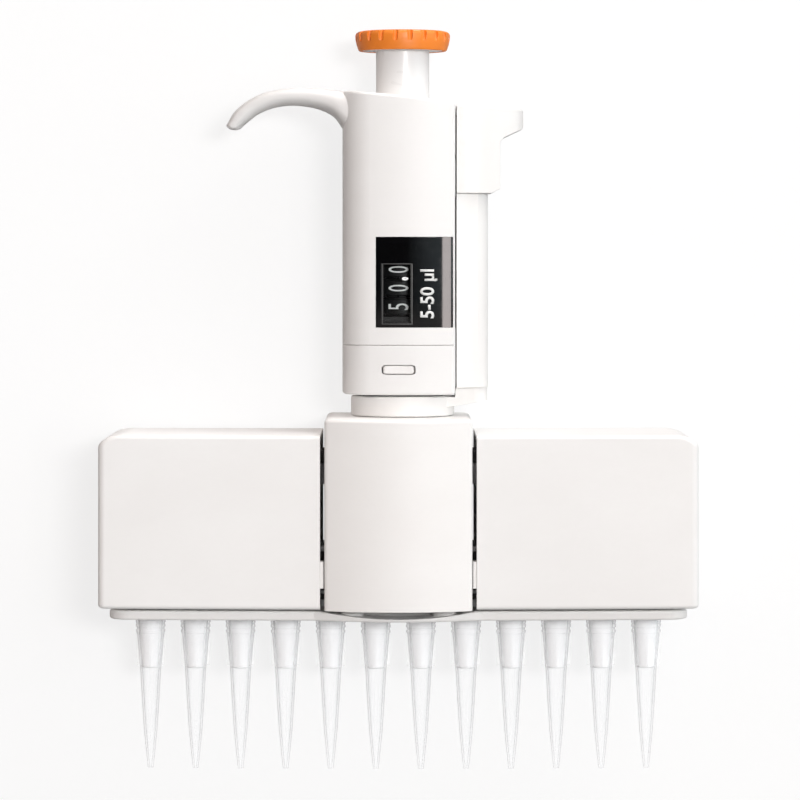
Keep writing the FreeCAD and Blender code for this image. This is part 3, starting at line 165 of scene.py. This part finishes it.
def moulded(name, col, col2, rough=0.45, grain=0.11, grain_amt=0.35, spec=0.5, edge=None, coat=0.0, glow=0.0, bevel=0.25):
    """injection-moulded plastic: fine spark-eroded grain, slow colour drift, edges rubbed smooth"""
    m = Mat(name)
    v = m.coords()
    fine = m.noise(v, 1.0 / (grain * 0.01) / 10.0, 2.0, 0.6)
    slow = m.noise(v, 45.0, 3.0, 0.5)
    mid = m.noise(v, 900.0, 2.0, 0.5)
    bev, em = edge_mask(m, bevel * MM)
    c = m.mix(m.ramp(slow, 0.35, 0.65, 0.0, 1.0), col, col2)
    c = m.mix(m.ramp(mid, 0.3, 0.7, 0.0, 0.10), c, tuple(x * 0.94 for x in col))
    if edge is not None:
        c = m.mix(m.math("MULTIPLY", em, 0.35), c, edge)
    r = m.ramp(slow, 0.3, 0.7, rough - 0.05, rough + 0.06)
    r = m.math("SUBTRACT", r, m.math("MULTIPLY", em, 0.10))
    h = m.math("ADD", m.math("MULTIPLY", fine, 0.7), m.math("MULTIPLY", mid, 0.3))
    nrm = m.bump(h, grain_amt, 0.03 * MM, bev)
    kw = {"Base Color": c, "Roughness": r, "Normal": nrm, "Specular IOR Level": spec, "Coat Weight": coat, "Coat Roughness": 0.15}
    # glow: emission from the base colour, painted light on a part that is no lamp
    if glow:
        kw["Emission Color"] = c
        kw["Emission Strength"] = glow
    m.principled(**kw)
    return m.m


def metal(name, col, rough=0.3, stretch=(1, 1, 1), scale=3000.0, aniso=0.0, amt=0.25):
    """ground or drawn metal with directional scratches and faint handling marks"""
    m = Mat(name)
    v = m.coords(stretch)
    sc = m.noise(v, scale, 4.0, 0.6)
    sm = m.noise(m.coords(), 260.0, 3.0, 0.6)
    c = m.mix(m.ramp(sc, 0.3, 0.7, 0.0, 1.0), tuple(x * 0.86 for x in col), col)
    c = m.mix(m.ramp(sm, 0.55, 0.8, 0.0, 0.35), c, tuple(x * 0.75 for x in col))
    r = m.math("ADD", m.ramp(sc, 0.3, 0.7, rough - 0.08, rough + 0.08), m.ramp(sm, 0.4, 0.8, 0.0, 0.10))
    m.principled(**{"Base Color": c, "Metallic": 1.0, "Roughness": r, "Normal": m.bump(sc, amt, 0.01 * MM, m.bevel(0.12 * MM))})
    return m.m


# ------------------------------------------------------------------ materials
WHITE = (0.862, 0.853, 0.841)
WHITE2 = (0.882, 0.875, 0.864)
M = {}
M["housing_white"] = moulded("housing_white", WHITE, WHITE2, rough=0.46, grain_amt=0.30, edge=(0.92, 0.91, 0.90), spec=0.45, bevel=0.30)
M["slider_white"] = moulded("slider_white", (0.870, 0.855, 0.838), (0.890, 0.878, 0.862), rough=0.40, grain_amt=0.22, edge=(0.93, 0.92, 0.91), spec=0.5, bevel=0.25)
M["stem_white"] = moulded("stem_white", (0.86, 0.85, 0.84), (0.88, 0.87, 0.86), rough=0.30, grain_amt=0.10, edge=(0.92, 0.91, 0.90), spec=0.5, bevel=0.15)
# the nozzles glow faintly (glow=0.05): painted light that keeps the cones inside the tips bright
M["nozzle_white"] = moulded("nozzle_white", (0.86, 0.86, 0.865), (0.88, 0.88, 0.885), rough=0.32, grain_amt=0.12, edge=(0.93, 0.93, 0.93), spec=0.5, glow=0.05, bevel=0.12)
M["inner_grey"] = moulded("inner_grey", (0.20, 0.20, 0.205), (0.23, 0.23, 0.235), rough=0.55, grain_amt=0.45, edge=(0.30, 0.30, 0.31), spec=0.4, bevel=0.2)
M["bush_dark"] = moulded("bush_dark", (0.020, 0.020, 0.022), (0.028, 0.028, 0.030), rough=0.38, grain_amt=0.15, edge=(0.05, 0.05, 0.055), spec=0.45, bevel=0.12)
M["wheel_black"] = moulded("wheel_black", (0.006, 0.006, 0.0065), (0.009, 0.009, 0.010), rough=0.42, grain_amt=0.18, edge=(0.03, 0.03, 0.032), spec=0.35, bevel=0.10)
M["seal_rubber"] = moulded("seal_rubber", (0.018, 0.018, 0.018), (0.026, 0.026, 0.026), rough=0.72, grain_amt=0.5, edge=None, spec=0.3, bevel=0.1)
M["knob_orange"] = moulded("knob_orange", (0.890, 0.222, 0.018), (0.925, 0.255, 0.024), rough=0.36, grain_amt=0.14, edge=(0.96, 0.36, 0.06), spec=0.5, bevel=0.15, coat=0.12)
M["steel"] = metal("steel", (0.60, 0.60, 0.61), 0.28, (1, 1, 0.05), 6000.0)
M["spring_steel"] = metal("spring_steel", (0.50, 0.50, 0.52), 0.30, (1, 1, 1), 4000.0)
M["aluminium"] = metal("aluminium", (0.72, 0.72, 0.73), 0.36, (0.05, 1, 1), 5000.0)
M["brass"] = metal("brass", (0.72, 0.52, 0.22), 0.26, (1, 1, 0.1), 5000.0)


def panel_material():
    """high-gloss black panel: clear coat over black, hairline scuffs and a trace of orange peel"""
    m = Mat("panel_black")
    v = m.coords()
    peel = m.noise(v, 350.0, 2.0, 0.5)
    scuff = m.noise(m.coords((1.0, 1.0, 0.06)), 2600.0, 4.0, 0.7)
    rough = m.math("ADD", m.ramp(scuff, 0.60, 0.75, 0.05, 0.16), m.ramp(peel, 0.3, 0.7, 0.0, 0.03))
    c = m.mix(m.ramp(scuff, 0.62, 0.8, 0.0, 0.5), (0.0022, 0.0022, 0.0026), (0.010, 0.010, 0.011))
    m.principled(**{"Base Color": c, "Roughness": rough, "Specular IOR Level": 0.55, "Coat Weight": 0.6, "Coat Roughness": 0.04,
                    "Normal": m.bump(peel, 0.06, 0.02 * MM, m.bevel(0.15 * MM))})
    return m.m


def lens_material():
    """clear lens plate: see-through, with a glossy face and faint dust"""
    m = Mat("lens_clear")
    v = m.coords()
    tr = m.n("ShaderNodeBsdfTransparent")
    dust = m.noise(v, 1800.0, 2.0, 0.5)
    col = m.mix(m.ramp(dust, 0.66, 0.8, 0.0, 0.2), (0.94, 0.95, 0.95), (0.80, 0.80, 0.80))
    m.link(col, tr.inputs["Color"])
    gl = m.n("ShaderNodeBsdfGlossy")
    gl.inputs["Color"].default_value = (1, 1, 1, 1)
    m.link(m.ramp(m.noise(v, 500.0), 0.3, 0.7, 0.03, 0.08), gl.inputs["Roughness"])
    fr = m.n("ShaderNodeFresnel")
    fr.inputs["IOR"].default_value = 1.45
    mx = m.n("ShaderNodeMixShader")
    m.link(m.math("MULTIPLY", fr.outputs[0], 0.8), mx.inputs[0])
    m.link(tr.outputs[0], mx.inputs[1])
    m.link(gl.outputs[0], mx.inputs[2])
    m.link(mx.outputs[0], m.out.inputs["Surface"])
    return m.m


def tip_material():
    """translucent natural polypropylene: clear in the middle, milky where the wall is seen edge-on and darker
    there by a painted shade that only the camera sees, with faint flow lines along the length and a satin gloss;
    the milk glows faintly as painted light; light passes inside"""
    m = Mat("tip_clear")
    v = m.coords()
    lw = m.n("ShaderNodeLayerWeight")
    lw.inputs["Blend"].default_value = 0.34
    face = lw.outputs["Facing"]
    lp = m.n("ShaderNodeLightPath")
    seen = lp.outputs["Is Camera Ray"]
    flow = m.noise(m.coords((1.0, 1.0, 0.03)), 2600.0, 3.0, 0.6)
    cloud = m.noise(v, 420.0, 3.0, 0.5)
    tr = m.n("ShaderNodeBsdfTransparent")
    # painted shade: the clear tint turns grey where the wall is seen edge-on, for camera rays only
    clear_tint_painted_edge_shade = m.mix(m.math("MULTIPLY", m.math("POWER", face, 2.0), seen), (0.996, 0.996, 0.997), (0.58, 0.57, 0.58))
    m.link(clear_tint_painted_edge_shade, tr.inputs["Color"])
    milk = m.n("ShaderNodeBsdfPrincipled")
    milk.inputs["Base Color"].default_value = (0.93, 0.935, 0.94, 1)
    milk.inputs["Specular IOR Level"].default_value = 0.55
    # painted light: the milky part of the tip glows faintly (emission 0.10)
    milk.inputs["Emission Color"].default_value = (1, 1, 1, 1)
    milk.inputs["Emission Strength"].default_value = 0.10
    m.link(m.ramp(cloud, 0.3, 0.7, 0.16, 0.30), milk.inputs["Roughness"])
    m.link(m.bump(m.math("ADD", flow, m.math("MULTIPLY", cloud, 0.5)), 0.12, 0.02 * MM, m.bevel(0.08 * MM)), milk.inputs["Normal"])
    mx = m.n("ShaderNodeMixShader")
    amt = m.math("ADD", m.ramp(face, 0.15, 0.95, 0.03, 0.34), m.ramp(flow, 0.4, 0.8, 0.0, 0.05))
    sep = m.n("ShaderNodeSeparateXYZ")
    m.link(v, sep.inputs[0])
    amt = m.math("ADD", amt, m.ramp(sep.outputs["Z"], 36.2 * MM, 37.4 * MM, 0.0, 0.13))
    m.link(m.math("MULTIPLY", amt, m.math("SUBTRACT", 1.0, m.math("MULTIPLY", lp.outputs["Is Shadow Ray"], 0.9))), mx.inputs[0])
    m.link(tr.outputs[0], mx.inputs[1])
    m.link(milk.outputs[0], mx.inputs[2])
    m.link(mx.outputs[0], m.out.inputs["Surface"])
    return m.m


M["panel_black"] = panel_material()
M["lens_clear"] = lens_material()
M["tip_clear"] = tip_material()


def print_material(name, col, emit=0.0):
    """pad-printed ink: slightly uneven coverage, satin"""
    m = Mat(name)
    v = m.coords()
    n = m.noise(v, 5000.0, 3.0, 0.6)
    c = m.mix(m.ramp(n, 0.35, 0.75, 0.0, 0.35), col, tuple(x * 0.7 for x in col))
    # emit makes the ink glow: painted light on print that is no lamp
    m.principled(**{"Base Color": c, "Roughness": m.ramp(n, 0.3, 0.7, 0.35, 0.5), "Emission Color": c, "Emission Strength": emit,
                    "Normal": m.bump(n, 0.2, 0.005 * MM)})
    return m.m


# the white digit ink glows (emit 0.22): painted light that brightens the printed digits
M["ink_white"] = print_material("ink_white", (0.88, 0.89, 0.88), 0.22)
M["ink_panel"] = print_material("ink_panel", (0.80, 0.81, 0.80), 0.0)

SPECIAL = {"centre_cover": "slider_white", "ejector_button": "slider_white", "ejector_arm": "slider_white",
           "ejector_ring": "slider_white", "stripper_bar": "slider_white", "knob_stem": "stem_white", "release_latch": "slider_white"}
for sub in frame["record"]["subparts"]:
    node, slot = sub["node"], sub["material_slot"]
    ob = frame["nodes"][node]
    mat = M[SPECIAL.get(node, slot)]
    if not ob.material_slots:
        ob.data.materials.append(mat)
    for s in ob.material_slots:
        s.material = mat


# ------------------------------------------------------------------ printed characters
def glyph_mesh(text, height, name, bold=0.0):
    """flat outline of a text, centred, finely divided so it can bend; `height` is not used"""
    cu = bpy.data.curves.new(name + "_c", "FONT")
    cu.body = text
    cu.size = 1.0
    cu.align_x = "CENTER"
    cu.align_y = "CENTER"
    cu.resolution_u = 6
    cu.offset = bold
    ob = bpy.data.objects.new(name + "_c", cu)
    scene.collection.objects.link(ob)
    bpy.context.view_layer.update()
    dg = bpy.context.evaluated_depsgraph_get()
    me = bpy.data.meshes.new_from_object(ob.evaluated_get(dg))
    bpy.data.objects.remove(ob)
    bpy.data.curves.remove(cu)
    return me


def bent_text(entries, name, where, body, mat, thick=0.02 * MM):
    """entries: (text, height, stretch_u, placement function (u, v, w) -> Vector). One mesh piece."""
    bm = bmesh.new()
    for text, height, stretch, weight, place in entries:
        me = glyph_mesh(text, height, name, weight)
        t = bmesh.new()
        t.from_mesh(me)
        bpy.data.meshes.remove(me)
        ys = [v.co.y for v in t.verts]
        xs = [v.co.x for v in t.verts]
        cy, cx = (max(ys) + min(ys)) / 2, (max(xs) + min(xs)) / 2
        k = height / (max(ys) - min(ys))
        ku = stretch / (max(xs) - min(xs)) if stretch else k
        for v in t.verts:
            v.co = Vector(((v.co.x - cx) * ku, (v.co.y - cy) * k, 0))
        # cut across the height so that it can follow the curved face
        n = 12
        for i in range(1, n):
            y = -height / 2 + height * i / n
            g = t.verts[:] + t.edges[:] + t.faces[:]
            bmesh.ops.bisect_plane(t, geom=g, plane_co=(0, y, 0), plane_no=(0, 1, 0))
        bmesh.ops.remove_doubles(t, verts=t.verts, dist=1e-7)
        ext = bmesh.ops.extrude_face_region(t, geom=t.faces[:])
        for g in ext["geom"]:
            if isinstance(g, bmesh.types.BMVert):
                g.co.z = thick
        bmesh.ops.recalc_face_normals(t, faces=t.faces)
        for v in t.verts:
            v.co = place(v.co.x, v.co.y, v.co.z)
        tmp = bpy.data.meshes.new("tmp")
        t.to_mesh(tmp)
        t.free()
        bm.from_mesh(tmp)
        bpy.data.meshes.remove(tmp)
    bmesh.ops.recalc_face_normals(bm, faces=bm.faces)
    me = bpy.data.meshes.new(name)
    bm.to_mesh(me)
    bm.free()
    ob = bpy.data.objects.new(name, me)
    scene.collection.objects.link(ob)
    me.materials.append(mat)
    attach(ob, body)
    return ob


def on_wheel(zc, phi0, r):
    def place(u, v, w):
        rr = r + w
        phi = phi0 + v / r
        return Vector((AX - rr * math.sin(phi), -rr * math.cos(phi), zc + u))
    return place


PHI0 = math.asin(0.85 / 8.4)
DIGIT_H, DIGIT_W = 4.0 * MM, 2.35 * MM


def wheel_digits(node, body, value_at):
    lo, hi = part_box(node)
    r = (hi[0] - lo[0]) / 2
    zc = (lo[2] + hi[2]) / 2
    ent = []
    for k in range(10):
        d = str(value_at(k))
        w = DIGIT_W * (0.55 if d == "1" else 1.0)
        ent.append((d, DIGIT_H, w, 0, on_wheel(zc, PHI0 + math.radians(36.0 * k), r - 0.002 * MM)))
    return bent_text(ent, "digits_" + node.split("_")[1], None, body, M["ink_white"])


wheel_digits("wheel_tens", "tens", lambda k: (5 + k) % 10)
wheel_digits("wheel_units", "units", lambda k: k % 10)
wheel_digits("wheel_tenths", "hub_tenths", lambda k: 0 if k % 2 == 0 else 5)


# front skin of the handle: arc of 40 mm radius about x = 1.5 mm
def on_front(x0, z0, lift):
    R, cx = 40.0 * MM, 1.85 * MM
    cy = (40.0 - 12.7) * MM

    def place(u, v, w):
        x = x0 - v
        rr = R + lift + w
        a = math.asin((x - cx) / R)
        return Vector((cx + rr * math.sin(a), cy - rr * math.cos(a), z0 + u))
    return place


bent_text([("5-50 µl", 3.4 * MM, 17.5 * MM, 0.022, on_front(5.95 * MM, 172.8 * MM, 0.0))], "panel_range", None, "handle",
          M["ink_panel"])

# decimal point, printed on the lens
dot = bmesh.new()
bmesh.ops.create_circle(dot, cap_ends=True, segments=32, radius=0.62 * MM)
ext = bmesh.ops.extrude_face_region(dot, geom=dot.faces[:])
for g in ext["geom"]:
    if isinstance(g, bmesh.types.BMVert):
        g.co.z = 0.02 * MM
bmesh.ops.recalc_face_normals(dot, faces=dot.faces)
lens_place = on_front(1.30 * MM, 178.25 * MM, -0.27 * MM)
for v in dot.verts:
    v.co = lens_place(v.co.x, v.co.y, v.co.z)
bmesh.ops.recalc_face_normals(dot, faces=dot.faces)
me = bpy.data.meshes.new("decimal_point")
dot.to_mesh(me)
dot.free()
dot_ob = bpy.data.objects.new("decimal_point", me)
scene.collection.objects.link(dot_ob)
me.materials.append(M["ink_white"])
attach(dot_ob, "handle")



def front_ring(name, x0, x1, z0, z1, wx, wz, lift, mat, thick=0.02 * MM):
    """thin rectangular border laid on the bowed front of the handle"""
    n = 10
    xs = [x0, x0 + wx] + [x0 + wx + (x1 - x0 - 2 * wx) * i / n for i in range(1, n)] + [x1 - wx, x1]
    zs = [z0, z0 + wz, z1 - wz, z1]
    bm = bmesh.new()
    vs = {(i, k): bm.verts.new((xs[i], zs[k], 0)) for i in range(len(xs)) for k in range(4)}
    for i in range(len(xs) - 1):
        for k in range(3):
            if i in (0, len(xs) - 2) or k in (0, 2):
                bm.faces.new((vs[i, k], vs[i + 1, k], vs[i + 1, k + 1], vs[i, k + 1]))
    bmesh.ops.delete(bm, geom=[v for v in bm.verts if not v.link_faces], context="VERTS")
    ext = bmesh.ops.extrude_face_region(bm, geom=bm.faces[:])
    for g in ext["geom"]:
        if isinstance(g, bmesh.types.BMVert):
            g.co.z = thick
    R, cx, cy = 40.0 * MM + lift, 1.85 * MM, (40.0 - 12.7) * MM
    for v in bm.verts:
        x, z, w = v.co
        a = math.asin((x - cx) / R)
        v.co = Vector((cx + (R + w) * math.sin(a), cy - (R + w) * math.cos(a), z))
    bmesh.ops.recalc_face_normals(bm, faces=bm.faces)
    me = bpy.data.meshes.new(name)
    bm.to_mesh(me)
    bm.free()
    ob = bpy.data.objects.new(name, me)
    scene.collection.objects.link(ob)
    me.materials.append(mat)
    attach(ob, "handle")
    return ob


M["ink_line"] = print_material("ink_line", (0.085, 0.085, 0.085), 0.0)
M["ink_mask"] = print_material("ink_mask", (0.004, 0.004, 0.004), 0.0)
lens_lo, lens_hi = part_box("counter_lens")
LX0, LX1, LZ0, LZ1 = lens_lo[0], lens_hi[0], lens_lo[2], lens_hi[2]
front_ring("lens_mask", LX0, LX1, LZ0, LZ1, 0.44 * MM, 0.40 * MM, -0.25 * MM, M["ink_mask"])
front_ring("lens_line", LX0 + 0.14 * MM, LX1 - 0.02 * MM, LZ0 + 0.10 * MM, LZ1 - 0.02 * MM, 0.19 * MM, 0.22 * MM, -0.23 * MM, M["ink_line"])


# ------------------------------------------------------------------ springs of the joints, copied onto their bodies
def live_spring(node):
    """a copy of the spring, carried by the body that holds it; the imported spring is hidden"""
    body = next(b for b, nodes in frame["record"]["behaviour"]["bodies"].items() if node in nodes)
    lo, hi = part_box(node)
    me = frame["nodes"][node].data.copy()
    me.name = node + "_live"
    ob = bpy.data.objects.new(node + "_live", me)
    scene.collection.objects.link(ob)
    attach(ob, body)
    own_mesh(ob)
    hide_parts(node)


for jt in frame["record"]["behaviour"]["joints"]:
    for dn in jt.get("deforming_nodes", []):
        live_spring(dn["node"])

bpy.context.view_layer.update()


# ------------------------------------------------------------------ studio
def plane(name, corners, mat):
    me = bpy.data.meshes.new(name)
    me.from_pydata(corners, [], [(0, 1, 2, 3)])
    me.update()
    ob = bpy.data.objects.new(name, me)
    scene.collection.objects.link(ob)
    me.materials.append(mat)
    return ob


WALL_Y = 18.6 * MM
FLOOR_Z = -24.0 * MM


def sweep_material(name, lit, glow, bounce, one_way):
    """pale matte paper; part of its brightness is its own so that shadows on it stay faint, and it
    throws little light back. Seen from behind it is not there when one_way is set, and it blocks no light."""
    m = Mat(name)
    v = m.coords()
    n = m.noise(v, 60.0, 3.0, 0.5)
    d = m.n("ShaderNodeBsdfDiffuse")
    lp = m.n("ShaderNodeLightPath")
    tone = m.math("ADD", m.math("MULTIPLY", lp.outputs["Is Camera Ray"], lit - bounce), bounce)
    m.link(m.mix(m.ramp(n, 0.3, 0.7, 0.0, 0.02), tone, (lit * 0.9, lit * 0.9, lit * 0.9)), d.inputs["Color"])
    e = m.n("ShaderNodeEmission")
    e.inputs["Color"].default_value = (1.0, 1.0, 1.0, 1)
    m.link(m.math("MULTIPLY", lp.outputs["Is Camera Ray"], glow), e.inputs["Strength"])
    add = m.n("ShaderNodeAddShader")
    m.link(d.outputs[0], add.inputs[0])
    m.link(e.outputs[0], add.inputs[1])
    tr = m.n("ShaderNodeBsdfTransparent")
    geo = m.n("ShaderNodeNewGeometry")
    hide = m.math("MAXIMUM", geo.outputs["Backfacing"] if one_way else 0.0, lp.outputs["Is Shadow Ray"])
    mx = m.n("ShaderNodeMixShader")
    m.link(hide, mx.inputs[0])
    m.link(add.outputs[0], mx.inputs[1])
    m.link(tr.outputs[0], mx.inputs[2])
    m.link(mx.outputs[0], m.out.inputs["Surface"])
    return m.m


wall_mat = sweep_material("paper_wall", 0.245, 0.745, 0.30, True)
floor_mat = sweep_material("paper_floor", 0.245, 0.745, 0.30, False)
plane("paper_wall", [(-3, WALL_Y, FLOOR_Z), (3, WALL_Y, FLOOR_Z), (3, WALL_Y, 4), (-3, WALL_Y, 4)], wall_mat)
plane("paper_floor", [(-6, -6, FLOOR_Z), (6, -6, FLOOR_Z), (6, 6, FLOOR_Z), (-6, 6, FLOOR_Z)], floor_mat)


def area(name, loc, target, size, power, col=(1, 1, 1), size_y=None, spread=180.0):
    li = bpy.data.lights.new(name, "AREA")
    li.energy = power
    li.color = col
    li.shape = "RECTANGLE" if size_y else "DISK"
    li.size = size
    if size_y:
        li.size_y = size_y
    li.spread = math.radians(spread)
    ob = bpy.data.objects.new(name, li)
    scene.collection.objects.link(ob)
    ob.location = loc
    d = Vector(target) - Vector(loc)
    ob.rotation_euler = d.to_track_quat("-Z", "Y").to_euler()
    return ob


area("key", (0.27, -1.25, 0.42), (0.0, 0.0, 0.13), 0.30, 6.9, (1.0, 1.0, 1.0))
area("top_soft", (0.30, -0.20, 1.15), (0.0, 0.0, 0.12), 0.5, 4.6, (1.0, 1.0, 1.0))
area("strip", (0.455, -1.11, 0.16), (0.0, 0.0, 0.17), 0.078, 0.9, (1.0, 0.90, 0.88), size_y=0.60)
area("back_fill", (-0.5, 1.3, 0.7), (0.0, 0.0, 0.12), 0.8, 9.0, (1.0, 1.0, 1.0))

w = bpy.data.worlds.new("studio")
scene.world = w
w.use_nodes = True
nt = w.node_tree
nt.nodes.clear()
wo = nt.nodes.new("ShaderNodeOutputWorld")
bg_cam = nt.nodes.new("ShaderNodeBackground")
bg_cam.inputs["Color"].default_value = (0.985, 0.985, 0.985, 1)
bg_cam.inputs["Strength"].default_value = 1.0
bg_lit = nt.nodes.new("ShaderNodeBackground")
tc = nt.nodes.new("ShaderNodeTexCoord")
sep = nt.nodes.new("ShaderNodeSeparateXYZ")
nt.links.new(tc.outputs["Generated"], sep.inputs[0])


def lobe(axis, col):
    """light that grows with the direction's lean toward +axis"""
    r = nt.nodes.new("ShaderNodeMapRange")
    r.inputs["To Max"].default_value = 1.0
    nt.links.new(sep.outputs[axis], r.inputs["Value"])
    v = nt.nodes.new("ShaderNodeVectorMath")
    v.operation = "SCALE"
    v.inputs[0].default_value = col
    nt.links.new(r.outputs["Result"], v.inputs["Scale"])
    return v.outputs[0]


# bright neutral light from the right, warmer light from above, nothing from the left or behind
both = nt.nodes.new("ShaderNodeVectorMath")
both.operation = "ADD"
nt.links.new(lobe("X", (0.86, 1.04, 1.12)), both.inputs[0])
nt.links.new(lobe("Z", (1.10, 0.93, 0.86)), both.inputs[1])
nt.links.new(both.outputs[0], bg_lit.inputs["Color"])
bg_lit.inputs["Strength"].default_value = 1.0
lp = nt.nodes.new("ShaderNodeLightPath")
mx = nt.nodes.new("ShaderNodeMixShader")
nt.links.new(lp.outputs["Is Camera Ray"], mx.inputs[0])
nt.links.new(bg_lit.outputs[0], mx.inputs[1])
nt.links.new(bg_cam.outputs[0], mx.inputs[2])
nt.links.new(mx.outputs[0], wo.inputs["Surface"])

scene.cycles.max_bounces = 8
scene.cycles.diffuse_bounces = 4
scene.cycles.glossy_bounces = 3
scene.cycles.transparent_max_bounces = 24
scene.cycles.caustics_reflective = False
scene.cycles.caustics_refractive = False
scene.view_settings.view_transform = "Standard"
scene.view_settings.look = "None"
scene.view_settings.exposure = 0.0
scene.view_settings.gamma = 1.0

# ------------------------------------------------------------------ camera
# The picture is squeezed into a square: 5.0 px per mm across but 2.75 px per mm up. The model keeps
# its true size, so at its own place the camera is a strip of a cylinder panorama whose two angular ranges
# give the same squeeze; from any other place it is an ordinary lens camera (a driver picks the type).
EYE = (0.0, -0.760, 0.1885)
cam = bpy.data.cameras.new("camera")
cam_ob = bpy.data.objects.new("camera", cam)
scene.collection.objects.link(cam_ob)
cam_ob.location = EYE
cam_ob.rotation_euler = (math.radians(90), 0, 0)
cam.lens = 18.0 / math.tan(0.4)
cam.sensor_width = 36.0
cam.sensor_fit = "HORIZONTAL"
cam.clip_start, cam.clip_end = 0.01, 50.0
cam.panorama_type = "CENTRAL_CYLINDRICAL"
PX_ACROSS, PX_UP, EYE_ROW, EYE_COL = 4.992, 2.75, 250.0, 398.35
dist = -EYE[1] / MM
cam.central_cylindrical_radius = 1.0
cam.central_cylindrical_range_u_min = -math.atan(EYE_COL / (PX_ACROSS * dist))
cam.central_cylindrical_range_u_max = math.atan((800 - EYE_COL) / (PX_ACROSS * dist))
cam.central_cylindrical_range_v_min = -(800 - EYE_ROW) / (PX_UP * dist)
cam.central_cylindrical_range_v_max = EYE_ROW / (PX_UP * dist)
cam.type = "PANO"
drv = cam.driver_add("type").driver
drv.type = "SCRIPTED"
for nm, ch in (("x", "LOC_X"), ("y", "LOC_Y"), ("z", "LOC_Z")):
    var = drv.variables.new()
    var.name = nm
    var.type = "TRANSFORMS"
    var.targets[0].id = cam_ob
    var.targets[0].transform_type = ch
    var.targets[0].transform_space = "WORLD_SPACE"
drv.expression = "2 if abs(x) + abs(y + 0.76) + abs(z - 0.1885) < 0.002 else 0"
scene.camera = cam_ob
